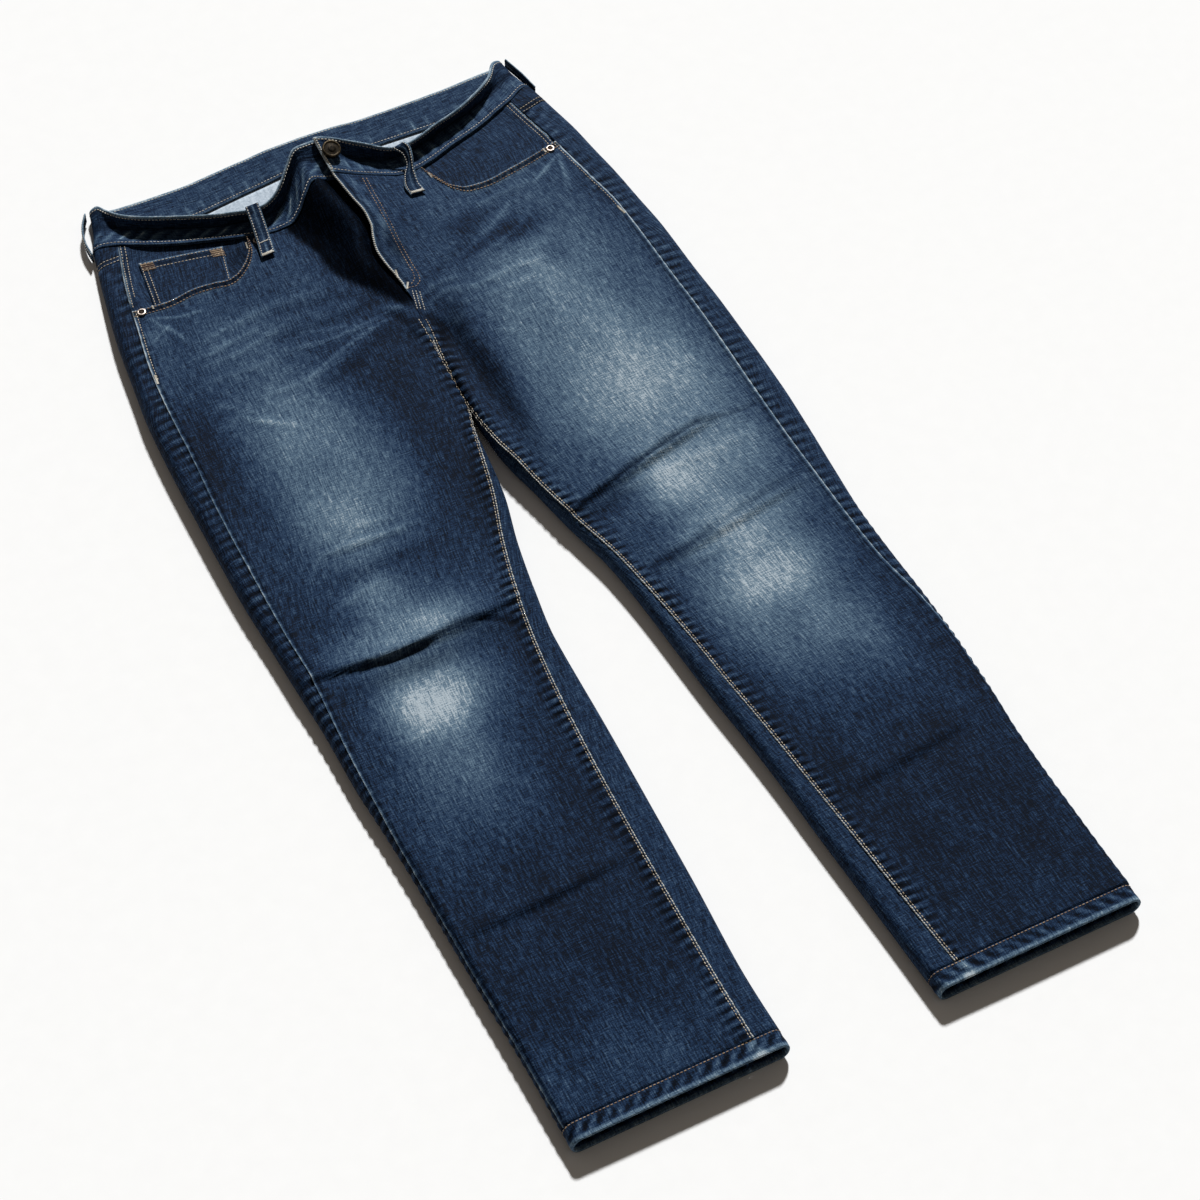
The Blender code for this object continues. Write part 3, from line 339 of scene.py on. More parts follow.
# Mouths of the front pockets, from the waist seam to the outseam, in plan
MOUTH_COLUMNS = ("along", "x", "y")
RIGHT_MOUTH = (
    (0.00, -103.5, 411.2),
    (0.10, -106.0, 399.5),
    (0.20, -111.4, 388.7),
    (0.30, -119.0, 378.8),
    (0.42, -131.0, 369.5),
    (0.50, -140.0, 367.2),
    (0.60, -152.0, 370.0),
    (0.72, -170.0, 372.0),
    (0.86, -196.0, 368.8),
    (1.00, -228.0, 372.5),
)
LEFT_MOUTH = (
    (0.00, 68.5, 417.0),
    (0.10, 69.0, 404.0),
    (0.18, 73.0, 394.0),
    (0.30, 83.0, 381.5),
    (0.42, 94.0, 373.0),
    (0.55, 112.0, 371.3),
    (0.72, 137.0, 375.5),
    (0.85, 158.0, 380.0),
    (1.00, 190.4, 388.5),
)

# Hidden lower edge of the facings behind the mouths
RIGHT_FACING_FOOT = (
    (0.00, -91.0, 402.0),
    (0.35, -112.0, 364.0),
    (1.00, -230.0, 358.0),
)
LEFT_FACING_FOOT = (
    (0.00, 57.0, 404.0),
    (0.35, 82.0, 366.0),
    (1.00, 191.0, 376.0),
)
FACING_DROP = 1.9
COIN_DROP = 1.7

# Corners of the coin pocket: right and left ends of its top and of its hidden foot
COIN_TOP = ((-199.5, 427.0), (-126.5, 410.3))
COIN_FOOT = ((-208.5, 362.0), (-138.0, 360.0))

# Back pockets: outline about a middle on the back, the same on both sides
BACK_POCKET_MIDDLES = {"right": (-122.0, 318.0), "left": (106.0, 318.0)}
BACK_POCKET_OUTLINE = ((-68, 70), (68, 70), (60, -52), (0, -78), (-60, -52))
BACK_POCKET_CLEAR = 1.9
BACK_POCKET_RADIUS = 80.0
BACK_POCKET_FADE = 48.0

# Back belt loop, under the waistband
BACK_LOOP_X = -8.0
BACK_LOOP_CLEAR = 2.0
BACK_LOOP_REACH = 22.0
BACK_LOOP_FADE = 40.0

# Where the front's border turns from the waist seam into the pocket's mouth, as a share of it
MOUTH_CORNER = 0.5
MOUTH_LAP = 10.0

# Gap between the waistband and the pieces it is sewn to
WAIST_GAP = 0.7
FACING_GAP = 1.3

# The inner wall of each thigh ends under the front panel between these rows
WALL_SINKS_Y = (175.0, 225.0)

# The waistband's outermost x, the height of its side rolls and where its crease lies in its width
BAND_SIDE_X = {"right": -229.0, "left": 203.5}
BAND_SIDE_HEIGHT = 13.0
CREASE_SHARE = 0.58

# How far the waistband's right end rises towards the left end that lies on it
RIGHT_END_RISE = 5.0

# Belt loops: middle line of the outer face, how far each strip is turned and how wide it looks
LOOP_COLUMNS = ("along", "x", "y", "z", "turn", "width")
FRONT_RIGHT_LOOP = (
    (0.0, -97.0, 375.5, 25.0, 2.0, 11.0),
    (0.35, -93.5, 394.0, 25.5, 2.0, 10.5),
    (0.7, -91.0, 412.0, 30.0, 2.0, 10.5),
    (1.0, -89.5, 427.5, 35.0, 2.0, 10.5),
)
FRONT_LEFT_LOOP = (
    (0.0, 51.5, 383.0, 24.6, -4.0, 12.0),
    (0.25, 50.5, 393.0, 25.0, -4.0, 11.5),
    (0.5, 53.5, 406.0, 27.0, 25.0, 9.5),
    (0.72, 59.0, 417.0, 30.5, 55.0, 8.5),
    (0.88, 60.5, 427.0, 33.0, 45.0, 9.0),
    (1.0, 56.5, 435.5, 34.0, 15.0, 10.0),
)
SIDE_RIGHT_LOOP = (
    (0.0, -232.0, 457.0, 7.0, 90.0, 9.0),
    (0.25, -232.4, 468.0, 7.3, 90.0, 9.0),
    (0.5, -231.0, 480.0, 7.7, 90.0, 9.0),
    (0.75, -227.2, 492.0, 8.0, 90.0, 9.0),
    (1.0, -219.8, 504.5, 8.5, 90.0, 9.0),
)
SIDE_LEFT_LOOP = (
    (0.0, 207.6, 464.0, 7.0, 90.0, 9.0),
    (0.25, 206.2, 473.0, 7.3, 90.0, 9.0),
    (0.5, 204.2, 484.0, 7.7, 90.0, 9.0),
    (0.75, 201.5, 495.0, 8.0, 90.0, 9.0),
    (1.0, 198.2, 507.0, 8.5, 90.0, 9.0),
)
# Each loop's table, and which way its outer face is turned
LOOPS = {
    "loop_front_right": (FRONT_RIGHT_LOOP, 1.0),
    "loop_front_left": (FRONT_LEFT_LOOP, 1.0),
    "loop_side_right": (SIDE_RIGHT_LOOP, 1.0),
    "loop_side_left": (SIDE_LEFT_LOOP, -1.0),
}
BACK_LOOP_OUTLINE = ((-13.5, 458.0), (-13.5, 510.0), (-2.5, 510.0), (-2.5, 458.0))

# Metal trim: the button on the waistband's left end, and the rivets at the pocket mouths
BUTTON_MIDDLE = (-3.5, 446.0, 46.0)
BUTTON_NORMAL = (0.12, -0.32, 0.94)
RIVET_LIFT = 0.3
RIVETS = {
    "rivet_right_outer": ("right", -220.4, 366.9),
    "rivet_right_inner": ("right", -97.5, 399.0),
    "rivet_left_outer": ("left", 181.5, 381.0),
}


def smooth_step(start, end, value):
    """Ease from 0 at start to 1 at end."""
    t = np.clip((np.asarray(value, float) - start) / (end - start), 0.0, 1.0)
    return t * t * (3.0 - 2.0 * t)


def near(value, middle, reach, power=2):
    """1 in the middle, easing to nothing at about twice its reach on either side."""
    return np.exp(-(((value - middle) / reach) ** power))


class Table:
    """A short table with named columns, read as smooth curves over its first column."""

    def __init__(self, columns, rows):
        values = np.array(rows, float).T
        self.columns = dict(zip(columns, values))
        self.key = values[0]

    def read(self, name, at):
        xs = self.key
        ys = self.columns[name]
        step = np.diff(xs)
        rise = np.diff(ys) / step
        product = rise[:-1] * rise[1:]
        total = rise[:-1] + rise[1:]
        inner = np.where(product > 0.0, 2.0 * product / np.where(total == 0.0, 1.0, total), 0.0)
        slope = np.concatenate([rise[:1], inner, rise[-1:]])
        at = np.clip(np.asarray(at, float), xs[0], xs[-1])
        i = np.clip(np.searchsorted(xs, at) - 1, 0, len(xs) - 2)
        t = (at - xs[i]) / step[i]
        a = ys[i] * (1 + 2 * t) * (1 - t) ** 2
        b = ys[i + 1] * t * t * (3 - 2 * t)
        c = step[i] * t * (1 - t) * (slope[i] * (1 - t) - slope[i + 1] * t)
        return a + b + c


LEGS = {"right": Table(LEG_COLUMNS, RIGHT_LEG), "left": Table(LEG_COLUMNS, LEFT_LEG)}
OUTWARD = {"right": -1.0, "left": 1.0}
HEM_Y = {"right": RIGHT_HEM_Y, "left": LEFT_HEM_Y}
FOLDS = {"right": RIGHT_FOLDS, "left": LEFT_FOLDS}
MOUTHS = {"right": Table(MOUTH_COLUMNS, RIGHT_MOUTH), "left": Table(MOUTH_COLUMNS, LEFT_MOUTH)}
FACING_FEET = {
    "right": Table(MOUTH_COLUMNS, RIGHT_FACING_FOOT),
    "left": Table(MOUTH_COLUMNS, LEFT_FACING_FOOT),
}
TOPS = Table(TOP_COLUMNS, TOP)
CRESTS = Table(CREST_COLUMNS, CREST)
RIDGES = Table(RIDGE_COLUMNS, RIDGE)
TROUGHS = Table(TROUGH_COLUMNS, TROUGH)
FRONT_SEAMS = Table(FRONT_SEAM_COLUMNS, FRONT_SEAM)
BACK_SEAMS = Table(BACK_SEAM_COLUMNS, BACK_SEAM)
YOKES = Table(YOKE_COLUMNS, YOKE)
FRONT_BANDS = Table(BAND_COLUMNS, FRONT_BAND)
BACK_BANDS = Table(BAND_COLUMNS, BACK_BAND)


def fold_height(side, x, y):
    """Height that the long folds add: a swell above the crest line and a dip below it."""
    total = np.zeros_like(x)
    for row in FOLDS[side]:
        fold = dict(zip(FOLD_COLUMNS, row))
        u = np.clip((x - fold["start_x"]) / (fold["end_x"] - fold["start_x"]), 0.0, 1.0)
        line = (1 - u) ** 2 * fold["start_y"] + 2 * u * (1 - u) * fold["mid_y"] + u ** 2 * fold["end_y"]
        distance = y - line
        taper = np.sqrt(np.sin(np.pi * u))
        swell = fold["rise"] * np.exp(-np.maximum(distance, 0.0) / fold["above"])
        dip = fold["dip"] * np.exp(np.minimum(distance, 0.0) / fold["below"])
        turn = smooth_step(-7.0, 1.0, distance)
        total += taper * (swell * turn - dip * (1.0 - turn))
    return total


def base_height(side, x, y):
    """Height of the front's outer face away from the side rolls and the fly."""
    leg = LEGS[side]
    edge = leg.read("height", y)
    crown = TOPS.read("crown", y)
    outer = leg.read("outer", y)
    inner = leg.read("inner", y)
    share = np.clip((x - inner) / (outer - inner), 0.0, 1.0)
    mix = smooth_step(CROTCH_Y - 90.0, CROTCH_Y + 20.0, y)
    legs = np.sin(np.pi * share)
    hips = np.cos(0.5 * np.pi * share ** 2)
    bulge = legs + (hips - legs) * mix
    height = edge + (crown - edge) * bulge
    height = height + fold_height(side, x, y)
    if side == "left":
        away = (x - TROUGHS.read("x", y)) / TROUGH_WIDTH
        height = height - TROUGHS.read("depth", y) * np.exp(-away * away)
    return height


def ridge_height(x, y):
    """Height that the fly's ridge adds."""
    across = (x - CRESTS.read("x", y)) / TOPS.read("ridge_width", y)
    return TOPS.read("ridge", y) * RIDGES.read("share", across)


def roll(depth, width):
    """Rounded fall-off towards a rolled edge: 0 on the edge, 1 at the roll's full width."""
    t = np.clip(depth / width, 0.0, 1.0)
    return np.sqrt(np.clip(1.0 - (1.0 - t) ** 2, 0.0, 1.0))


def rolls(side, x, y):
    """Fall-off at the outer and the inner edge."""
    leg = LEGS[side]
    outward = OUTWARD[side]
    outer = roll((leg.read("outer", y) - x) * outward, OUTER_ROLL)
    inner = roll((x - leg.read("inner", y)) * outward, INNER_ROLL)
    return outer, inner


def top_height(side, x, y):
    """Height of the garment's upper face."""
    x = np.asarray(x, float)
    y = np.asarray(y, float) + np.zeros_like(x)
    middle = ROLL_MIDDLE * LEGS[side].read("height", y)
    face = base_height(side, x, y) + ridge_height(x, y)
    if side == "right":
        reach = 15.0 * TOPS.read("ridge_width", y)
        face = face - TOPS.read("valley", y) * smooth_step(-reach, -0.15 * reach, x - CRESTS.read("x", y))
    outer, inner = rolls(side, x, y)
    cleft = 1.0 - smooth_step(LEGS_PART_Y - 20.0, CROTCH_HIGH_Y, y)
    return middle + (face - middle) * outer * (1.0 - cleft * (1.0 - inner))


def lift(x, y):
    """How far the back is held off the surface by the back pockets and the back belt loop."""
    total = np.zeros_like(x)
    for middle_x, middle_y in BACK_POCKET_MIDDLES.values():
        reach = np.hypot(x - middle_x, y - middle_y) - BACK_POCKET_RADIUS
        total = np.maximum(total, BACK_POCKET_CLEAR * (1.0 - smooth_step(16.0, BACK_POCKET_FADE, reach)))
    away = np.abs(x - BACK_LOOP_X) - BACK_LOOP_REACH
    loop = (1.0 - smooth_step(0.0, BACK_LOOP_FADE, away)) * smooth_step(415.0, 445.0, y)
    return np.maximum(total, BACK_LOOP_CLEAR * loop)


def bottom_height(side, x, y):
    """Height of the garment's lower face, which rests on the surface."""
    x = np.asarray(x, float)
    y = np.asarray(y, float) + np.zeros_like(x)
    middle = ROLL_MIDDLE * LEGS[side].read("height", y)
    outer, inner = rolls(side, x, y)
    cleft = 1.0 - smooth_step(LEGS_PART_Y - 20.0, CROTCH_LOW_Y, y)
    flat = outer * (1.0 - cleft * (1.0 - inner))
    return middle * (1.0 - flat) + lift(x, y) * flat


RING_STEPS = 160


def ring(side, y):
    """Section of one leg or hip as (x, z) points: over the top outwards, then back underneath."""
    leg = LEGS[side]
    inner = float(leg.read("inner", y)) + OUTWARD[side] * HALF_GAP
    outer = float(leg.read("outer", y))
    share = 0.5 - 0.5 * np.cos(np.linspace(0.0, np.pi, RING_STEPS))
    x = inner + (outer - inner) * share
    top = np.stack([x, top_height(side, x, y)], 1)
    under = np.stack([x[::-1], bottom_height(side, x[::-1], y)], 1)
    return top, under[1:]


def resample(points, count, turn_weight=24.0):
    """Pick count points along a polyline, closer together where it turns."""
    steps = np.diff(points, axis=0)
    lengths = np.linalg.norm(steps, axis=1)
    keep = np.concatenate([[True], lengths > 1e-6])
    points = points[keep]
    steps = np.diff(points, axis=0)
    lengths = np.linalg.norm(steps, axis=1)
    heading = steps / lengths[:, None]
    cosine = np.clip((heading[1:] * heading[:-1]).sum(1), -1.0, 1.0)
    turning = np.concatenate([[0.0], np.minimum(np.arccos(cosine), 0.8)])
    weight = np.concatenate([[0.0], np.cumsum(lengths + turn_weight * turning)])
    if np.isscalar(count):
        wanted = np.linspace(0.0, weight[-1], count)
    else:
        wanted = np.asarray(count) * weight[-1]
    return np.stack([np.interp(wanted, weight, column) for column in points.T], 1)


def cut_at(polyline, x, keep_after):
    """Cut an (x, z) polyline that runs steadily in x at a given x."""
    xs = polyline[:, 0]
    order = 1.0 if xs[-1] > xs[0] else -1.0
    z = np.interp(order * x, order * xs, polyline[:, 1])
    if keep_after:
        rest = polyline[order * xs > order * x + 1e-6]
        return np.vstack([[[x, z]], rest])
    rest = polyline[order * xs < order * x - 1e-6]
    return np.vstack([rest, [[x, z]]])


def back_section(side, y):
    """Back panel's section: from the outseam over the outer roll, underneath, to its inner border."""
    leg = LEGS[side]
    outward = OUTWARD[side]
    top, under = ring(side, y)
    outseam = float(leg.read("outseam", y)) + outward * HALF_GAP
    section = np.vstack([cut_at(top, outseam, True), under])
    if y >= CROTCH_HIGH_Y:
        return section
    inseam = float(leg.read("inseam", y)) - outward * HALF_GAP
    corner = top[0]
    if y < LEGS_PART_Y and outward * (inseam - corner[0]) > 0.05:
        return np.vstack([section, cut_at(top, inseam, False)])
    sunk = (CLOTH + SEAM_GAP) * float(smooth_step(*WALL_SINKS_Y, y))
    wall_top = corner[1] - SEAM_GAP - sunk
    if y > CROTCH_LOW_Y:
        wall_top *= (CROTCH_HIGH_Y - y) / (CROTCH_HIGH_Y - CROTCH_LOW_Y)
    foot = section[-1, 1]
    wall = np.linspace(foot, max(wall_top, foot + 0.01), 8)[1:]
    return np.vstack([section, np.stack([np.full(len(wall), corner[0]), wall], 1)])


def front_inner(side, y):
    """Plan of the front panel's inner border: the inseam, then the fly's edge."""
    outward = OUTWARD[side]
    inseam = LEGS[side].read("inseam", y) + outward * HALF_GAP
    edge = CRESTS.read("x", y) + outward * HALF_GAP
    if side == "right":
        edge = edge + smooth_step(FLY_FOOT_Y, FLY_FULL_Y, y) * FLY_UNDERLAP
    above = smooth_step(CROTCH_Y - 4.0, CROTCH_Y + 4.0, y)
    return inseam + (edge - inseam) * above


def front_point(side, share, y):
    """A point on the front: share runs from the inner border to the outseam."""
    inner = front_inner(side, y)
    outseam = LEGS[side].read("outseam", y) - OUTWARD[side] * HALF_GAP
    x = inner + (outseam - inner) * share
    return np.stack([x, y, top_height(side, x, y)], -1)


def column_shares(count, edge, lean):
    """Shares from 0 to 1 with a narrow first and last column, and the rest leaning to the start."""
    inner = np.linspace(0.0, 1.0, count - 2)
    inner = (1.0 - lean) * inner + lean * inner ** 2
    return np.concatenate([[0.0], edge + (1.0 - 2.0 * edge) * inner, [1.0]])


# Columns that the waistband's stations are shared with
FRONT_SHARES = column_shares(19, 0.002, 0.3)
FACING_SHARES = np.linspace(0.0, 1.0, 9)


def seam_line(side, shares):
    """Plan x of the front panel's columns along the waist seam, from the fly to the pocket's mouth."""
    start_x = float(MOUTHS[side].read("x", 0.0))
    fly_x = float(front_inner(side, FRONT_SEAMS.read("y", CRESTS.read("x", 427.0))))
    return fly_x + (start_x - fly_x) * shares / MOUTH_CORNER


def facing_line(side, shares):
    """Plan x of the facing's columns along the waist seam, from behind the panel to the outseam."""
    outward = OUTWARD[side]
    start_x = float(MOUTHS[side].read("x", 0.0)) - outward * MOUTH_LAP
    corner_x = float(LEGS[side].read("outseam", 452.0)) - outward * HALF_GAP
    return start_x + (corner_x - start_x) * shares


def around(side, shares, y):
    """Points of the back's section, each at its own y."""
    points = np.empty((len(shares), 3))
    for i, share in enumerate(shares):
        x, z = resample(back_section(side, float(y[i])), np.array([share]))[0]
        points[i] = (x, y[i], z)
    return points


def border_rows(side, shares, start_y, border):
    """Plan y at each share where the back's section meets a seam, given as a function."""
    y = np.full(len(shares), start_y)
    for _ in range(4):
        points = around(side, shares, y)
        y = border(points)
    return y


def yoke_seam(points):
    """Plan y of the seam between back panel and yoke."""
    return YOKES.read("y", points[:, 0])


def waist_seam(side):
    """A function for the plan y of the waist seam, over the side roll from front to back."""

    def read(points):
        middle = ROLL_MIDDLE * LEGS[side].read("height", points[:, 1])
        on_top = smooth_step(-2.0, 2.0, points[:, 2] - middle)
        front = FRONT_SEAMS.read("y", points[:, 0])
        back = BACK_SEAMS.read("y", points[:, 0])
        return back + (front - back) * on_top

    return read


def back_grid(side, shares, rows_low, rows_high):
    """Points of a back panel: straight rows up the leg, then rows that bend to the yoke seam."""
    rows = []
    for y in rows_low:
        section = resample(back_section(side, y), shares)
        rows.append(np.stack([section[:, 0], np.full(len(shares), y), section[:, 1]], 1))
    border = border_rows(side, shares, 430.0, yoke_seam) - HALF_GAP
    for v in rows_high:
        rows.append(around(side, shares, SHAPED_FROM_Y + (border - SHAPED_FROM_Y) * v))
    return np.array(rows)


def yoke_grid(side, shares, rows):
    """Points of a yoke, from the back panel's border to the waist seam."""
    low = border_rows(side, shares, 430.0, yoke_seam) + HALF_GAP
    high = border_rows(side, shares, 460.0, waist_seam(side)) - WAIST_GAP
    return np.array([around(side, shares, low + (high - low) * v) for v in rows])


def facing_drop(side, x, y):
    """How far the facing lies under the front's outer face."""
    if side == "left":
        return np.full_like(x, FACING_DROP)
    middle_x = 0.5 * (COIN_TOP[0][0] + COIN_TOP[1][0])
    middle_y = 0.5 * (COIN_TOP[0][1] + COIN_FOOT[1][1])
    away = np.maximum(np.abs(x - middle_x) - 44.0, np.abs(y - middle_y) - 38.0)
    return FACING_DROP + COIN_DROP * (1.0 - smooth_step(2.0, 16.0, away))


def facing_grid(side, shares, rows):
    """Points of a pocket facing, from its hidden foot to the waist seam and the outseam."""
    foot = FACING_FEET[side]
    outward = OUTWARD[side]
    low_x = foot.read("x", shares)
    low_y = foot.read("y", shares)
    high_x = facing_line(side, shares)
    high_y = FRONT_SEAMS.read("y", high_x) - FACING_GAP
    grid = []
    for v in rows:
        y = low_y + (high_y - low_y) * v
        inner = front_inner(side, y)
        outseam = LEGS[side].read("outseam", y) - outward * HALF_GAP
        low_share = (low_x - inner) / (outseam - inner)
        high_share = (high_x - inner) / (outseam - inner)
        share = np.where(shares >= 1.0, 1.0, low_share + (high_share - low_share) * v)
        point = front_point(side, share, y)
        point[:, 2] -= facing_drop(side, point[:, 0], point[:, 1])
        grid.append(point)
    return np.array(grid)


def coin_grid(across, rows):
    """Points of the coin pocket on the right facing."""
    grid = []
    for v in rows:
        top = np.outer(1 - across, COIN_TOP[0]) + np.outer(across, COIN_TOP[1])
        foot = np.outer(1 - across, COIN_FOOT[0]) + np.outer(across, COIN_FOOT[1])
        x, y = (foot + (top - foot) * v).T
        grid.append(np.stack([x, y, top_height("right", x, y) - FACING_DROP], 1))
    return np.array(grid)


def band_stations(side):
    """Stations round one side of the waist: front, side roll, back to the centre.

    Each has its x and how far up the side roll it is: 1 on the front, 0 on the back.
    """
    outward = OUTWARD[side]
    inner = float(CRESTS.read("x", 427.0)) + outward * HALF_GAP
    if side == "right":
        inner += BAND_UNDERLAP
    rolled = BAND_SIDE_X[side] - outward * OUTER_ROLL
    on_panel = seam_line(side, FRONT_SHARES[FRONT_SHARES <= MOUTH_CORNER])
    on_facing = facing_line(side, FACING_SHARES)
    on_facing = on_facing[outward * (on_facing - on_panel[-1]) > 4.0]
    front = np.concatenate([[inner], on_panel[1:], on_facing, [rolled]])
    turn = np.linspace(0.0, np.pi, 7)[1:-1]
    back = np.linspace(rolled, BACK_LOOP_X, 8)
    x = np.concatenate([front, rolled + outward * OUTER_ROLL * np.sin(turn), back])
    top = np.concatenate([np.ones(len(front)), 0.5 + 0.5 * np.cos(turn), np.zeros(len(back))])
    return x, top


def band_lines(side, x, top):
    """Seam, crease and top edge of the waistband at its stations."""
    seam_y = BACK_SEAMS.read("y", x) + (FRONT_SEAMS.read("y", x) - BACK_SEAMS.read("y", x)) * top
    high = top_height(side, x, seam_y)
    low = lift(x, seam_y)
    roll_z = BAND_SIDE_HEIGHT * top
    seam_z = np.where(top > 0.999, high, np.where(top < 0.001, low, roll_z))
    offsets = {}
    for name in BAND_COLUMNS[1:]:
        front = FRONT_BANDS.read(name, x)
        back = BACK_BANDS.read(name, x)
        offsets[name] = back + (front - back) * top
    seam = np.stack([x, seam_y, seam_z], 1)
    lean = offsets["edge_lean"]
    rise = RIGHT_END_RISE * smooth_step(-42.0, -18.0, x) * top if side == "right" else np.zeros_like(x)
    crease_rise = offsets["crease_rise"] + 0.4 * rise
    crease = seam + np.stack([CREASE_SHARE * lean, offsets["crease_run"], crease_rise], 1)
    edge = seam + np.stack([lean, offsets["edge_run"], offsets["edge_rise"] + rise], 1)
    return seam, crease, edge


def band_point(seam, crease, edge, v):
    """A row of the waistband between its seam (0), its crease and its top edge (1), eased through."""
    rows = np.array([0.0, CREASE_SHARE, 1.0])
    lines = np.stack([seam, crease, edge])
    flat = lines.reshape(3, -1)
    table = Table(("v",) + tuple(range(flat.shape[1])), np.column_stack([rows, flat]))
    return np.array([table.read(i, v) for i in range(flat.shape[1])]).reshape(seam.shape)


def hem_grid(side, count, rows):
    """Points of a turned-up hem: the whole section of the leg, at rows down to its end."""
    grid = []
    for v in rows:
        y = HEM_Y[side] + (HEM_DEPTH - SEAM_GAP) * (1.0 - v)
        top, under = ring(side, y)
        loop = np.vstack([top, under, top[:1]])
        section = resample(loop, count + 1)[:-1]
        grid.append(np.stack([section[:, 0], np.full(count, y), section[:, 1]], 1))
    return np.array(grid)


def loop_grid(rows, count, across):
    """Points of a belt loop: a strip along a smooth line, turned about it."""
    line = Table(LOOP_COLUMNS, rows)
    grid = []
    for along in np.linspace(0.0, 1.0, count):
        centre = np.array([float(line.read(name, along)) for name in ("x", "y", "z")])
        turn = math.radians(float(line.read("turn", along)))
        half = 0.5 * float(line.read("width", along))
        wide = np.array([math.cos(turn), 0.0, math.sin(turn)])
        grid.append([centre + wide * half * u for u in across])
    return np.array(grid)


def surface_normal(side, x, y):
    """Outward direction of the front at a place in plan."""
    step = 3.0
    slope_x = float(top_height(side, x + step, y) - top_height(side, x - step, y)) / (2 * step)
    slope_y = float(top_height(side, x, y + step) - top_height(side, x, y - step)) / (2 * step)
    return (-slope_x, -slope_y, 1.0)


def shifted(points):
    """Table millimetres to metres about the finished origin."""
    return (np.asarray(points, float) - (CENTRE_X, CENTRE_Y, 0.0)) * MM


# Sewing thread
STITCH_PITCH = 3.2
STITCH_LENGTH = 2.5
STITCH_WIDTH = 0.5
STITCH_HEIGHT = 0.3

# Thickness of the cloth as it shows, of what is sewn double, and of a fold from outside to outside
SHOWN_CLOTH = 0.9
PATCH_SHOWN = 1.0
LEAF_SHOWN = 0.7
LOOP_SHOWN = 1.2
FOLD_THICKNESS = 2.4

# How far cloth stays above the floor, and a patch that lies on it
FLOOR_CLEAR = 0.05
PATCH_CLEAR = 0.1

# Seams: between which distances from the edge the allowance under them ends
FELL_FROM, FELL_TO = 7.0, 11.0
INSEAM_FELL_FROM, INSEAM_FELL_TO = 8.0, 12.0

# How far apart the puckers stand along each seam, and the band's rubbed marks
PUCKER_OUTSEAM = 10.0
PUCKER_INSEAM = 8.7
PUCKER_HEM = 13.0
PUCKER_BAND = 14.0
PUCKER_MOUTH = 8.5
RUB_SPACING = 15.0

# Where each side's run of puckers begins, in radians, so that the two sides differ
OUTSEAM_SEED = {"right": 1.3, "left": 4.1}
INSEAM_SEED = {"right": 2.2, "left": 0.4}
MOUTH_SEED = {"right": 0.9, "left": 3.7}
HEM_SEED = {"right": 0.8, "left": 3.3}
YOKE_SEED = 1.3
BAND_SEED = 2.7

# Grids of the shown cloth: rows up the leg and on to the border, and steps between columns in mm
FRONT_ROWS = 312
FRONT_TOP_ROWS = 37
BORDER_STEP = 2.6
CLOSE_STEPS = np.array([0.4, 0.9, 1.5, 2.3, 3.4, 5.0])
LEAST_STEP = 0.5
BACK_ROWS = 272
BACK_TOP_ROWS = 22
BAND_COLUMNS_SHOWN = 190
BAND_ROWS_SHOWN = 21
BAND_FOOT = -0.045

# How much wider than their solids the belt loops look
FRONT_LOOP_WIDER = 1.22
SIDE_LOOP_WIDER = 1.12

# Places where washing has paled the front: x, y, half width, half length, turn, how much
PALE_COLUMNS = ("x", "y", "wide", "long", "turn", "worn")
RIGHT_PALE = (
    (-150, 335, 120, 80, 0, 0.16),
    (-158, 288, 60, 34, 0, 0.12),
    (-158, 205, 38, 40, 8, 0.28),
    (-150, 130, 44, 62, 0, 0.42),
    (-176, 62, 40, 40, 0, 0.22),
    (-130, 70, 36, 40, 0, 0.14),
    (-170, -2, 22, 18, 0, 0.40),
    (-172, -46, 44, 20, 0, 0.50),
    (-110, -30, 40, 34, 0, 0.16),
    (-166, -110, 36, 27, 0, 0.76),
    (-176, -158, 40, 36, 0, 0.30),
    (-185, -215, 40, 40, 0, 0.22),
    (-92, 135, 22, 50, 0, 0.10),
    (-125, -46, 28, 15, 0, 0.14),
    (-222, 205, 16, 40, 0, -0.10),
    (-62, 190, 22, 50, 0, -0.06),
    (-60, 75, 26, 40, 0, -0.05),
    (-150, 22, 40, 10, 0, -0.06),
    (-222, 338, 8, 9, 0, 0.18),
    (-165, -470, 80, 30, 0, 0.13),
    (-130, -345, 50, 70, 0, -0.04),
)
LEFT_PALE = (
    (100, 345, 110, 80, 0, 0.20),
    (110, 262, 60, 22, 0, 0.08),
    (114, 160, 56, 105, -3, 0.54),
    (60, 210, 18, 40, 0, 0.14),
    (140, 80, 60, 52, 0, 0.31),
    (128, -12, 58, 34, 6, 0.52),
    (128, -70, 58, 20, 6, 0.52),
    (134, -118, 46, 26, 6, 0.62),
    (142, -172, 46, 36, 0, 0.36),
    (150, -228, 42, 38, 0, 0.22),
    (88, -140, 24, 40, 0, 0.16),
    (20, 60, 22, 60, 0, 0.12),
    (76, 332, 17, 10, 20, -0.24),
    (96, 305, 17, 11, 24, -0.34),
    (188, 110, 20, 100, 0, 0.14),
    (45, 85, 18, 55, 0, 0.10),
    (150, -395, 75, 80, 0, -0.05),
    (120, 305, 16, 9, 24, -0.26),
    (70, 302, 14, 7, 24, -0.18),
    (130, 266, 12, 12, 0, -0.14),
    # These two darken with painted shade: under the fold at the left knee and in the thigh's trough
    (46, -8, 26, 9, 10, -0.14),
    (18, 160, 12, 60, 0, -0.10),
    (96, -6, 22, 16, 0, 0.12),
    (95, -185, 28, 38, 0, 0.09),
)
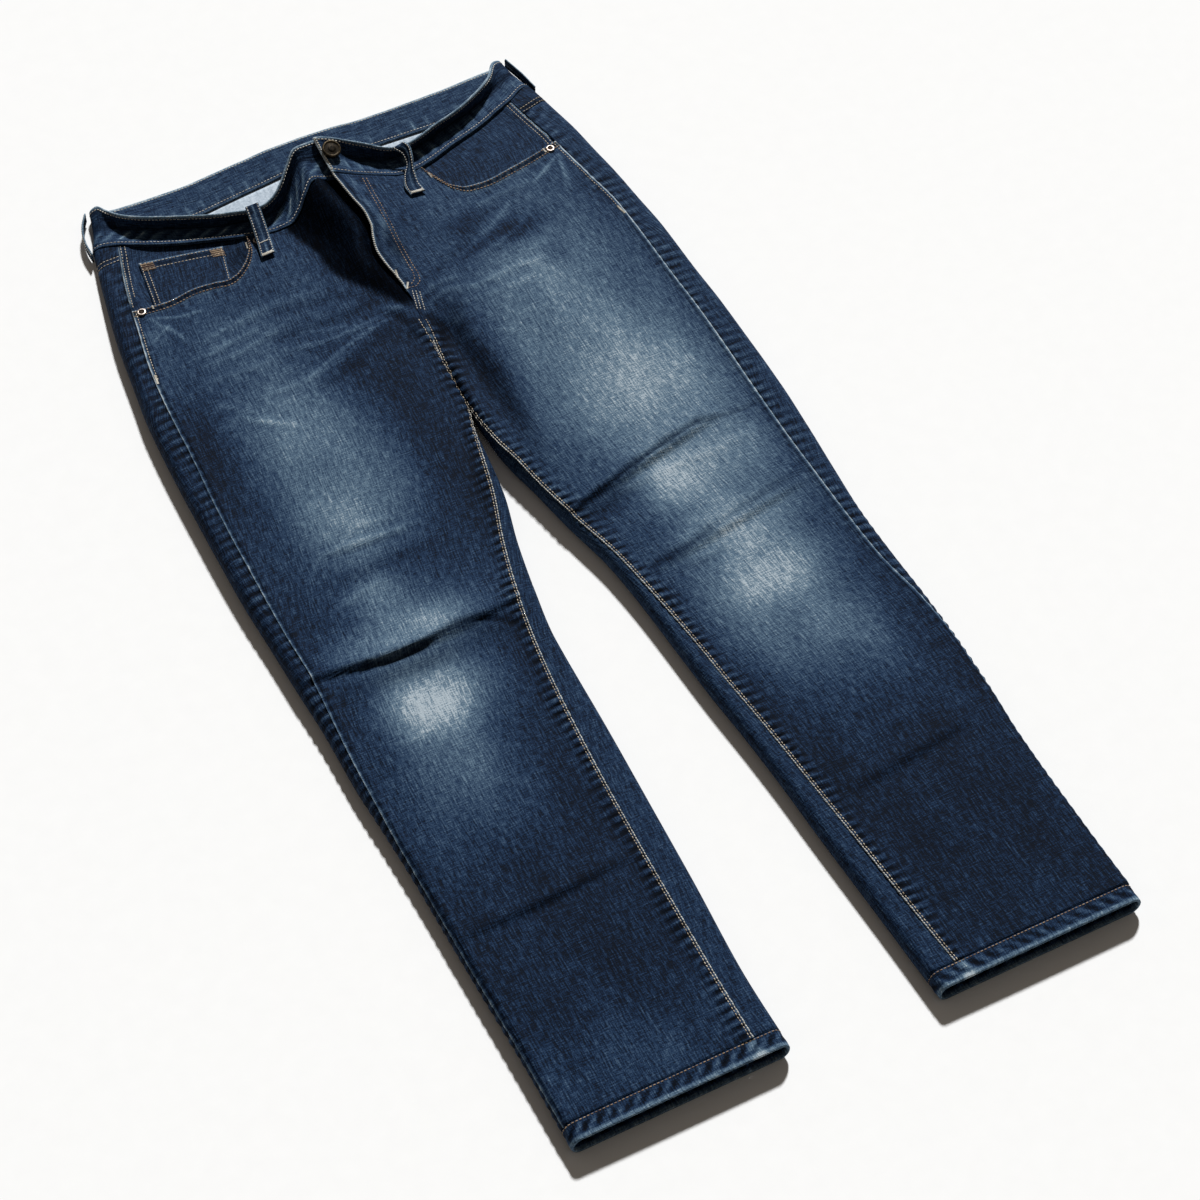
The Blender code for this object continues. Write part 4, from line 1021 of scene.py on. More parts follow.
BACK_PALE = (
    (-120, 210, 70, 90, 0, 0.34),
    (110, 210, 70, 90, 0, 0.34),
    (-120, 330, 70, 60, 0, 0.24),
    (110, 330, 70, 60, 0, 0.24),
    (-150, -90, 70, 60, 0, 0.22),
    (130, -90, 70, 60, 0, 0.22),
)
BASE_WEAR = 0.13

# The painted shadow over the flank of the fly's fold: how far it reaches from the crest
FLANK_PAINTED_SHADOW_COLUMNS = ("y", "reach")
FLANK_PAINTED_SHADOW = (
    (258, 0.0),
    (270, 12.0),
    (285, 19.0),
    (300, 27.0),
    (325, 39.0),
    (350, 49.0),
    (375, 57.0),
    (410, 61.0),
    (450, 58.0),
)

# Darker patches, painted shade in dents, hollows and under folds: x, y, half width, half length, turn, how
# much
RIGHT_PAINTED_SHADE = (
    (-170, -77, 40, 9, 0, 0.34),
    (-95, -70, 26, 9, -20, 0.25),
    (-17, 240, 9, 8, 0, 0.4),
)
LEFT_PAINTED_SHADE = (
    (17, 168, 8, 62, 2, 0.45),
    (44, 0, 26, 6, 12, 0.35),
    (6, 331, 6, 15, 0, 0.6),
    (20, 235, 7, 22, -20, 0.25),
)

# The deepest crease, across the right knee
KNEE_CREASE = (
    (-243, -56),
    (-225, -58),
    (-200, -62),
    (-170, -66),
    (-140, -61),
    (-115, -57),
    (-95, -61),
    (-80, -72),
    (-70, -86),
)

# Creases: a path in plan, then how high (or deep), half width, wear and shade; the shade is painted shade in
# the crease
RIGHT_CREASES = (
    (KNEE_CREASE, -2.0, 2.6, -0.20, 0.46),
    (((-235, -318), (-190, -322), (-150, -320), (-110, -313)), -0.5, 3.5, -0.05, 0.2),
    (((-217, 358), (-205, 352), (-190, 346), (-172, 345)), 0.4, 1.7, 0.34, 0.0),
    (((-217, 358), (-210, 345), (-203, 330), (-198, 318)), 0.4, 1.6, 0.34, 0.0),
    (((-226, 330), (-212, 338), (-204, 342)), 0.3, 1.5, 0.25, 0.0),
    (((-205, 297), (-190, 293), (-165, 300), (-140, 302)), 0.4, 3.0, 0.18, 0.0),
    (((-200, 285), (-170, 283), (-140, 290), (-105, 300)), 0.4, 3.0, 0.15, 0.0),
    (((-185, 312), (-150, 318), (-115, 322), (-70, 318)), 0.5, 4.0, 0.14, 0.0),
    (((-215, 262), (-190, 268), (-160, 262), (-130, 268)), 0.4, 3.0, 0.13, 0.0),
    (((-12, 270), (-40, 266), (-70, 262), (-100, 262), (-130, 270)), 0.7, 2.4, 0.25, 0.0),
    (((-25, 262), (-50, 258), (-75, 250), (-100, 240), (-122, 232)), 0.7, 2.2, 0.31, 0.0),
    (((-62, 250), (-92, 236), (-135, 228), (-165, 232)), 0.4, 2.4, 0.17, 0.0),
    (((-110, 282), (-85, 272), (-60, 268)), 0.4, 2.2, 0.15, 0.0),
    (((-195, 222), (-175, 205), (-150, 185)), 0.4, 2.6, 0.22, 0.0),
    (((-205, 240), (-185, 225), (-170, 205)), 0.3, 2.4, 0.17, 0.0),
    (((-140, 285), (-90, 279), (-50, 280), (-28, 292)), -0.9, 5.0, -0.08, 0.12),
    (((-120, 310), (-80, 306), (-45, 300)), -0.6, 5.0, -0.06, 0.1),
    (((-30, 250), (-60, 240), (-92, 222), (-122, 214)), -0.9, 6.0, -0.07, 0.15),
    (((-195, 57), (-160, 55), (-130, 52), (-108, 53)), 0.7, 2.6, 0.20, 0.0),
    (((-190, 50), (-160, 48), (-120, 45)), -0.6, 2.6, -0.08, 0.12),
    (((-155, 70), (-140, 69), (-122, 66)), 0.4, 2.4, 0.14, 0.0),
    (((-208, 0), (-190, 3), (-170, 10), (-150, 10)), 0.4, 2.4, 0.11, 0.0),
    (((-190, 22), (-150, 24), (-112, 26)), -0.5, 6.0, -0.07, 0.1),
    (((-216, -138), (-200, -141), (-184, -138)), 0.3, 1.5, 0.20, 0.0),
    (((-22, 248), (-16, 238), (-13, 226)), 0.8, 3.0, 0.17, 0.0),
    (((-40, 276), (-26, 272), (-14, 262)), 0.8, 2.4, 0.22, 0.0),
    (((-34, 268), (-24, 256), (-20, 244)), -1.2, 4.0, -0.12, 0.4),
)
LEFT_CREASES = (
    (((-4, 5), (15, 5), (33, 8), (75, 22), (110, 31), (140, 38), (158, 41)), -2.2, 2.6, -0.30, 0.60),
    (((140, 39), (158, 40), (172, 37), (192, 36), (208, 37)), -0.5, 2.0, -0.10, 0.3),
    (((40, -77), (60, -75), (85, -71), (110, -65)), -1.0, 4.0, -0.24, 0.34),
    (((100, -66), (120, -62), (150, -55), (185, -48), (207, -44)), -0.7, 4.5, -0.12, 0.16),
    (((184, 372), (181, 356), (178, 340), (176, 328)), 0.4, 1.5, 0.36, 0.0),
    (((183, 372), (172, 364), (160, 356), (148, 349)), 0.4, 2.0, 0.34, 0.0),
    (((60, 290), (85, 296), (110, 304), (130, 320)), 0.5, 3.0, 0.21, 0.0),
    (((55, 300), (80, 311), (108, 328), (122, 340)), 0.5, 3.0, 0.18, 0.0),
    (((85, 345), (115, 352), (150, 353)), 0.4, 4.0, 0.11, 0.0),
    (((28, 262), (60, 261), (90, 267), (118, 262)), 0.5, 3.0, 0.18, 0.0),
    (((2, 262), (18, 268), (34, 268), (48, 264)), 0.6, 2.4, 0.22, 0.0),
    (((-2, 270), (14, 278), (30, 280), (44, 276)), 0.6, 2.6, 0.20, 0.0),
    (((6, 250), (16, 240), (20, 225)), 0.7, 3.0, 0.14, 0.0),
    (((-2, 254), (4, 242), (2, 228), (-2, 214)), -1.4, 4.0, -0.14, 0.5),
    (((30, 250), (60, 246), (100, 248)), 0.3, 3.0, 0.11, 0.0),
    (((20, 290), (60, 306), (100, 340)), -0.7, 5.0, -0.07, 0.1),
    (((60, 6), (110, 10), (160, 8), (200, 14)), 0.4, 4.0, 0.08, 0.0),
    (((60, -90), (90, -92), (112, -86)), -0.4, 5.0, -0.08, 0.1),
    (((100, -300), (150, -296), (200, -290)), 0.4, 7.0, 0.05, 0.0),
    (((84, -338), (140, -332), (205, -322)), -0.5, 4.0, -0.06, 0.2),
)


# The inner of the two stitched rows that run down the fly and turn in at its foot, in plan
FLY_LINE = (
    (15.6, 415.2),
    (13.9, 387.2),
    (12.6, 354.0),
    (11.0, 325.0),
    (10.3, 305.9),
    (10.6, 296.3),
    (8.6, 287.7),
    (2.7, 283.0),
    (-5.3, 283.7),
)

# Bar tacks: middle in plan, turn in degrees, length and width of the bar
FRONT_TACKS = (
    (-7.6, 301.0, 80, 8, 2.2),
    (-4.3, 286.0, 60, 7, 2.2),
    (-238.5, 290.0, 84, 10, 2.4),
    (203.5, 284.0, 100, 10, 2.4),
    (-209.5, 369.0, 86, 5, 2.0),
    (176.0, 381.5, 100, 5, 2.0),
    (72.0, 402.0, 100, 7, 2.2),
    (-107.0, 401.0, 80, 7, 2.2),
)
LOOP_TACKS = (
    (-97.0, 377.4, 2, 9.4, 3.4),
    (51.5, 385.0, -4, 10.4, 3.2),
    (-94.6, 391.0, 2, 8.5, 1.2),
)
# Ends of the coin pocket's mouth, each closed by four bars side by side
COIN_TACKS = ((-193.5, 419.0), (-133.5, 404.6))
COIN_TACK_SHIFTS = (-3.6, -1.2, 1.2, 3.6)
# Ends of the back pockets' mouths from their middle, and ends of the back loop
BACK_POCKET_TACK = (62.0, 65.0)
BACK_LOOP_TACKS = (462.0, 506.0)
# Three short rows below the fly
FLY_FOOT_ROWS = ((-4.6, 271.0), (-1.8, 270.0), (1.0, 268.0))

# Distances of the rows of stitches from the cloth's edge
SEAM_ROWS = (1.5, 6.5)
MOUTH_ROWS = (1.5, 7.2)
POCKET_ROWS = (1.8, 7.5)
COIN_ROWS = (1.6, 9.0)

# Rows of the waistband's own grid that are stitched: beside its foot and its top fold, on both leaves
BAND_STITCHED = (2, 20, 28, 46)

# Rings of the round metal pieces: how far in and how far up each goes from the last
BUTTON_RINGS = ((0.5, 0.45), (0.9, 0.15), (0.7, -0.75), (0.8, 0.0), (2.2, 0.25), (0.6, 0.5), (0.8, 0.1))
BUTTON_DARK = 6.2
RIVET_RINGS = ((0.4, 0.25), (0.9, 0.1), (0.45, -0.9), (0.7, 0.1), (0.35, 0.4))
RIVET_DARK = 2.3
TRIM_SIDES = 48
TRIM_EASE = 0.15

# The photograph's camera: degrees above the floor and round it, metres to what it looks at
CAMERA_LIFT = 54.0
CAMERA_TURN = -27.0
CAMERA_AWAY = 2.72927
CAMERA_TARGET = (0.0143455, -0.0674144, 0.0)
LENS = 100.0
SENSOR = 36.0

# Daylight from the upper right, and the room's glow in the shadows
SUN_LIFT = 41.0
SUN_ACROSS = (12.2, 19.6, 0.0)
SUN_POWER = 5.02
SUN_WIDTH = 5.0
SUN_COLOUR = (0.988, 0.998, 1.01)
GLOW_COLOUR = (1.0, 0.88, 0.76, 1.0)
GLOW_STRENGTH = 0.13

FLOOR_SIZE = 12.0
FLOOR_DROP = -0.0002


# Shades, as the eye reads them in daylight
INDIGO_RAMP = (
    (0.00, "#010917"),
    (0.15, "#081b32"),
    (0.30, "#182e49"),
    (0.50, "#35495f"),
    (0.70, "#51677a"),
    (0.85, "#6e818f"),
    (1.00, "#a0acb4"),
)


def linear(code):
    """A hex colour as the linear values that a shader takes."""
    values = [int(code[i : i + 2], 16) / 255.0 for i in (1, 3, 5)]
    return tuple(v / 12.92 if v <= 0.04045 else ((v + 0.055) / 1.055) ** 2.4 for v in values) + (1.0,)


def fill(tree, node, inputs):
    """Link or fill a node's inputs."""
    for name, value in inputs.items():
        if isinstance(value, bpy.types.NodeSocket):
            tree.links.new(value, node.inputs[name])
        else:
            node.inputs[name].default_value = value


def add_node(tree, kind, inputs, out=0, stops=(), **settings):
    """Add a shader node with its settings, links and ramp stops, and hand back one of its outputs."""
    made = tree.nodes.new(kind)
    for name, value in settings.items():
        setattr(made, name, value)
    fill(tree, made, inputs)
    for i, (place, code) in enumerate(stops):
        points = made.color_ramp.elements
        point = points[i] if i < 2 else points.new(place)
        point.position, point.color = place, linear(code)
    return made.outputs[out]


def new_material(name):
    """A Principled material: itself, its tree and its shader."""
    made = bpy.data.materials.new(name)
    made.use_nodes = True
    return made, made.node_tree, made.node_tree.nodes["Principled BSDF"]


def woven(tree, patterns):
    """Noise over the cloth's own map for each pattern of a table of lump sizes in mm."""
    cloth = add_node(tree, "ShaderNodeUVMap", {}, uv_map="Cloth")
    found = []
    for across, along, detail in patterns:
        size = (1.0 / (across * MM), 1.0 / (along * MM), 1.0)
        mapped = add_node(tree, "ShaderNodeMapping", {"Vector": cloth, "Scale": size})
        inputs = {"Vector": mapped, "Scale": 1.0, "Detail": detail}
        found.append(add_node(tree, "ShaderNodeTexNoise", inputs))
    return found


# Indigo twill, ring spun and stonewashed. To the eye: a matt, nearly black blue that turns grey
# where the white weft is laid bare, with pale slubs that run down the warp and finer ones across.
# Its ribs are 0.6 mm apart, which is finer than shows, so they are drawn as mottling of 1.2 mm.
# Slub, fleck, weft, streak and cloud: how large the lumps are across and along, and their detail.
TWILL = (
    (1.25, 11.0, 2.0),
    (1.1, 1.2, 1.0),
    (8.0, 1.2, 1.0),
    (1.9, 48.0, 1.0),
    (33.0, 83.0, 2.0),
)


def denim_face(name, stops):
    """Indigo twill, paler where the cloth is worn, and darker by the shade attribute, mostly painted shade.
    """
    made, tree, shader = new_material(name)
    slub, fleck, weft, streak, cloud = woven(tree, TWILL)
    # The weights add up to 2.15, so 1.075 brings the mean to nought
    grain = add_node(tree, "ShaderNodeMath", {0: slub, 1: 0.85, 2: -1.075}, operation="MULTIPLY_ADD")
    for pattern, weight in ((fleck, 0.55), (weft, 0.5), (streak, 0.25)):
        grain = add_node(tree, "ShaderNodeMath", {0: pattern, 1: weight, 2: grain}, operation="MULTIPLY_ADD")
    wear = add_node(tree, "ShaderNodeAttribute", {}, out=2, attribute_name="wear")
    shade = add_node(tree, "ShaderNodeAttribute", {}, out=2, attribute_name="shade")
    drift = add_node(tree, "ShaderNodeMath", {0: cloud, 1: 0.1, 2: -0.05}, operation="MULTIPLY_ADD")
    clouded = add_node(tree, "ShaderNodeMath", {0: wear, 1: drift}, operation="ADD")
    contrast = add_node(tree, "ShaderNodeMath", {0: wear, 1: -0.25, 2: 1.12}, operation="MULTIPLY_ADD")
    worn = add_node(tree, "ShaderNodeMath", {0: grain, 1: contrast, 2: clouded}, operation="MULTIPLY_ADD")
    dye = add_node(tree, "ShaderNodeValToRGB", {0: worn}, stops=stops)
    # A Mix node's colours are its inputs 6 and 7 and its output 2
    colours = {0: 1.0, 6: dye, 7: shade}
    shaded = add_node(tree, "ShaderNodeMix", colours, out=2, data_type="RGBA", blend_type="MULTIPLY")
    rough = add_node(tree, "ShaderNodeMath", {0: fleck, 1: 0.2, 2: 0.72}, operation="MULTIPLY_ADD")
    # Where shade is painted the specular is turned down too
    sheen = add_node(tree, "ShaderNodeMath", {0: shade, 1: 0.1}, operation="MULTIPLY")
    ribs = add_node(tree, "ShaderNodeBump", {"Height": grain, "Strength": 0.7, "Distance": 0.0008})
    fill(tree, shader, {"Base Color": shaded, "Roughness": rough, "Normal": ribs})
    fill(tree, shader, {"Specular IOR Level": sheen})
    return made


def denim_reverse():
    """The reverse of the twill."""
    # Here the undyed weft lies on top: the eye sees a pale, dull blue-grey with darker specks
    made, tree, shader = new_material("Denim reverse, undyed weft")
    fleck, slub = woven(tree, ((1.9, 1.9, 1.0), (3.3, 25.0, 2.0)))
    half = add_node(tree, "ShaderNodeMath", {0: fleck, 1: 0.5}, operation="MULTIPLY")
    grain = add_node(tree, "ShaderNodeMath", {0: slub, 1: 0.5, 2: half}, operation="MULTIPLY_ADD")
    stops = ((0.3, "#8d9aa6"), (0.5, "#adb9c4"), (0.7, "#c6d0d9"))
    weft = add_node(tree, "ShaderNodeValToRGB", {0: grain}, stops=stops)
    rough = add_node(tree, "ShaderNodeMath", {0: fleck, 1: 0.15, 2: 0.8}, operation="MULTIPLY_ADD")
    ribs = add_node(tree, "ShaderNodeBump", {"Height": grain, "Strength": 0.4, "Distance": 0.0005})
    fill(tree, shader, {"Base Color": weft, "Roughness": rough, "Normal": ribs, "Specular IOR Level": 0.25})
    return made


def speckled(name, scales, stops, rough, bump, metallic):
    """A material whose shade drifts over the piece and whose surface is broken up finely."""
    made, tree, shader = new_material(name)
    place = add_node(tree, "ShaderNodeTexCoord", {}, out=3)
    drift, fine = (
        add_node(tree, "ShaderNodeTexNoise", {"Vector": place, "Scale": scale, "Detail": detail})
        for scale, detail in scales
    )
    colour = add_node(tree, "ShaderNodeValToRGB", {0: drift}, stops=stops)
    polish = add_node(tree, "ShaderNodeMath", {0: fine, 1: 0.25, 2: rough}, operation="MULTIPLY_ADD")
    relief = add_node(tree, "ShaderNodeBump", {"Height": fine, "Strength": bump, "Distance": 0.0002})
    fill(tree, shader, {"Base Color": colour, "Roughness": polish, "Normal": relief, "Metallic": metallic})
    return made


def thread(name, dark, pale):
    """Spun cotton-wrapped thread: to the eye dull and softly ridged, its dye drifting every 11 mm."""
    return speckled(name, ((90.0, 2.0), (1400.0, 1.0)), ((0.35, dark), (0.65, pale)), 0.55, 0.4, 0.0)


def cast_metal(name, dark, bright, rough):
    """Plated and tumbled trim: to the eye soft highlights, blotched every 2 mm where it is rubbed."""
    return speckled(name, ((500.0, 4.0), (900.0, 2.0)), ((0.35, dark), (0.65, bright)), rough, 0.3, 0.9)


def arc(grid):
    """How far along its row each point lies, in mm."""
    steps = np.linalg.norm(np.diff(grid, axis=1), axis=2)
    return np.concatenate([np.zeros((len(grid), 1)), np.cumsum(steps, axis=1)], axis=1)


def outward_normals(grid, sign):
    """Unit normals of a grid of points, turned outwards."""
    across = np.gradient(grid, axis=1)
    along = np.gradient(grid, axis=0)
    normal = sign * np.cross(across, along)
    return normal / np.maximum(np.linalg.norm(normal, axis=2, keepdims=True), 1e-9)


def wobble(*terms):
    """A slow uneven wave: terms are values in radians, summed with falling weight."""
    return sum(np.sin(term) / (1.0 + i) for i, term in enumerate(terms))


def puckers(along, depth, spacing, reach, seed):
    """Ridges across a seam, from -1 to 1, uneven in spacing and strength and gone past their reach."""
    drift = 0.9 * wobble(along / 23.0 + seed, along / 41.0 + 2.0 * seed, along / 11.0 + 0.7 * seed)
    ridge = np.cos(2.0 * np.pi * along / spacing + drift + 0.05 * depth)
    strength = 0.8 + 0.3 * np.sin(along / 29.0 + 3.0 * seed) * np.sin(along / 13.0 + seed)
    far = reach * (0.85 + 0.25 * np.sin(along / 17.0 + 5.0 * seed))
    return ridge * strength * near(depth, 0.0, far)


def near_path(x, y, path):
    """Along (0 to 1) and distance of places in plan from a smoothed path."""
    path = np.array(path, float)
    for _ in range(2):
        cut = np.empty((2 * len(path) - 2, 2))
        cut[0::2] = 0.75 * path[:-1] + 0.25 * path[1:]
        cut[1::2] = 0.25 * path[:-1] + 0.75 * path[1:]
        path = np.vstack([path[:1], cut, path[-1:]])
    best = np.full(x.shape, 1e9)
    where = np.zeros(x.shape)
    for i in range(len(path) - 1):
        dx, dy = path[i + 1] - path[i]
        t = np.clip(((x - path[i, 0]) * dx + (y - path[i, 1]) * dy) / (dx * dx + dy * dy), 0.0, 1.0)
        away = np.hypot(x - path[i, 0] - t * dx, y - path[i, 1] - t * dy)
        closer = away < best
        best = np.where(closer, away, best)
        where = np.where(closer, (i + t) / (len(path) - 1), where)
    return where, best


def creases(table, cloth):
    """Add the listed creases to a cloth's relief, wear and shade, painting shade into each crease."""
    for path, rise, wide, worn, dark in table:
        plan = np.array(path)
        low, high = plan.min(0) - 3 * wide, plan.max(0) + 3 * wide
        inside = (cloth.x > low[0]) & (cloth.x < high[0]) & (cloth.y > low[1]) & (cloth.y < high[1])
        x, y = cloth.x[inside], cloth.y[inside]
        along, away = near_path(x, y, path)
        swing = 1.0 + 0.25 * np.sin(x / 7.0 + y / 9.0)
        body = near(away, 0.0, wide * swing) * np.sin(np.pi * np.clip(along, 0.01, 0.99)) ** 0.6
        cloth.relief[inside] += rise * body
        cloth.wear[inside] += worn * body
        cloth.shade[inside] *= 1.0 - dark * body


def pale(table, x, y):
    """How far washing has paled the cloth, from a table of soft patches; the same sum gives the painted
    shade of the darker patches.
    """
    total = np.zeros_like(x)
    for row in table:
        patch = dict(zip(PALE_COLUMNS, row))
        turn = math.radians(patch["turn"])
        dx, dy = x - patch["x"], y - patch["y"]
        across = (dx * math.cos(turn) + dy * math.sin(turn)) / patch["wide"]
        along = (dy * math.cos(turn) - dx * math.sin(turn)) / patch["long"]
        total += patch["worn"] * np.exp(-0.5 * (across**2 + along**2) ** 1.25)
    return total


class Cloth:
    """A sheet of cloth as a grid of points in mm, with its relief, wear and shade: a darkening, mostly
    painted shade.
    """

    def __init__(self, grid, sign, closed=False):
        self.grid = grid
        self.closed = closed
        self.sign = sign
        self.normals = outward_normals(grid, sign)
        self.x, self.y, self.z = grid[..., 0], grid[..., 1], grid[..., 2]
        self.start = arc(grid)
        self.end = self.start[:, -1:] - self.start
        self.relief = np.zeros_like(self.x)
        self.wear = np.full_like(self.x, BASE_WEAR)
        self.shade = np.ones_like(self.x)
        # Where its pattern runs otherwise than its rows: across and along, in mm
        self.map = ()

    def raise_up(self):
        """Work the relief into the grid, and push nothing through the floor."""
        self.grid = self.grid + self.normals * self.relief[..., None]
        self.grid[..., 2] = np.maximum(self.grid[..., 2], FLOOR_CLEAR)


def make_sheet(name, cloth, thickness, materials):
    """The cloth as a thin shell on its CAD piece's form."""
    rows, columns = cloth.grid.shape[:2]
    spans = columns if cloth.closed else columns - 1
    r, c = np.meshgrid(np.arange(rows - 1), np.arange(spans), indexing="ij")
    d = (c + 1) % columns
    # Each corner is its row, its column, and its column on the flat map, where a tube stays open
    corners = [(r, c, c), (r, d, c + 1), (r + 1, d, c + 1), (r + 1, c, c)]
    if cloth.sign < 0:
        corners = corners[::-1]
    faces = np.stack([row * columns + column for row, column, _ in corners], -1).reshape(-1, 4)
    across, along = arc(cloth.grid), cloth.y
    if cloth.closed:
        across = arc(np.concatenate([cloth.grid, cloth.grid[:, :1]], 1))
        along = np.concatenate([cloth.y, cloth.y[:, :1]], 1)
    across, along = cloth.map or (across - 0.5 * across[:, -1:], along)
    flat = np.stack([np.stack([across[row, col], along[row, col]], -1) for row, _, col in corners], 2)
    mesh = bpy.data.meshes.new("cloth_" + name)
    mesh.from_pydata(shifted(cloth.grid.reshape(-1, 3)).tolist(), [], faces.tolist())
    mesh.uv_layers.new(name="Cloth").data.foreach_set("uv", (flat * MM).reshape(-1))
    for word, values in (("wear", cloth.wear), ("shade", cloth.shade)):
        mesh.attributes.new(word, "FLOAT", "POINT").data.foreach_set("value", values.reshape(-1))
    for material in materials:
        mesh.materials.append(material)
    mesh.shade_smooth()
    made = bpy.data.objects.new("cloth_" + name, mesh)
    bpy.context.scene.collection.objects.link(made)
    wall = made.modifiers.new("Cloth", "SOLIDIFY")
    wall.thickness = thickness * MM
    wall.offset = -1.0
    wall.material_offset = len(materials) - 1
    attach(made, "root")
    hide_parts(name)


def folded(cloth, rows_in, pinch):
    """Cloth turned over along its last row: its outer leaf, a round turn and an inner leaf."""
    full = np.full(cloth.x.shape, FOLD_THICKNESS)
    if pinch:
        depth = np.minimum(cloth.start, cloth.end)
        full = SHOWN_CLOTH + (full - SHOWN_CLOTH) * roll(depth, 2.5)
    top = cloth.grid
    under = top - cloth.normals * full[..., None]
    heading = top[-1] - top[-2]
    heading = heading / np.linalg.norm(heading, axis=1, keepdims=True)
    middle = 0.5 * (top[-1] + under[-1])
    half = 0.5 * (top[-1] - under[-1])
    reach = np.linalg.norm(half, axis=1, keepdims=True)
    angles = np.linspace(0, math.pi, 7)[1:-1]
    turn = [middle + half * math.cos(a) + heading * reach * math.sin(a) for a in angles]
    inner = under[::-1]
    whole = Cloth(np.concatenate([top, np.array(turn), inner[:rows_in]]), cloth.sign, cloth.closed)
    grown = len(turn)

    def spread(values):
        edge = np.repeat(values[-1:], grown, 0)
        return np.concatenate([values, edge, values[::-1][:rows_in]])

    whole.wear = spread(cloth.wear)
    whole.shade = spread(cloth.shade)
    return whole


# Columns of the back panels, close together where the side rolls show
FINE_BACK_SHARES = np.concatenate(
    [
        [0.0, 0.0015, 0.003],
        np.linspace(0.006, 0.2, 30),
        np.linspace(0.215, 0.86, 30),
        np.linspace(0.87, 0.994, 22),
        [0.997, 0.9985, 1.0],
    ]
)


def front_border(side):
    """The front panel's top border in plan: along the waist seam, then down the pocket's mouth."""
    outward = OUTWARD[side]
    mouth = MOUTHS[side]
    fly_x = float(front_inner(side, FRONT_SEAMS.read("y", CRESTS.read("x", 427.0))))
    span = abs(float(mouth.read("x", 0.0)) - fly_x)
    on_seam = np.arange(CLOSE_STEPS[-1] + 2.4, span - 1.2, BORDER_STEP)
    seam_x = fly_x + outward * np.concatenate([[0.0], CLOSE_STEPS, on_seam])
    along = np.linspace(0.0, 1.0, 600)
    plan = np.stack([mouth.read("x", along), mouth.read("y", along)], 1)
    run = np.concatenate([[0.0], np.cumsum(np.linalg.norm(np.diff(plan, axis=0), axis=1))])
    on_mouth = np.arange(0.0, run[-1] - 7.0, BORDER_STEP)
    at = np.interp(np.concatenate([on_mouth, run[-1] - CLOSE_STEPS[::-1], run[-1:]]), run, along)
    x = np.concatenate([seam_x, mouth.read("x", at)])
    y = np.concatenate([FRONT_SEAMS.read("y", seam_x) - WAIST_GAP, mouth.read("y", at)])
    return x, y, len(seam_x)


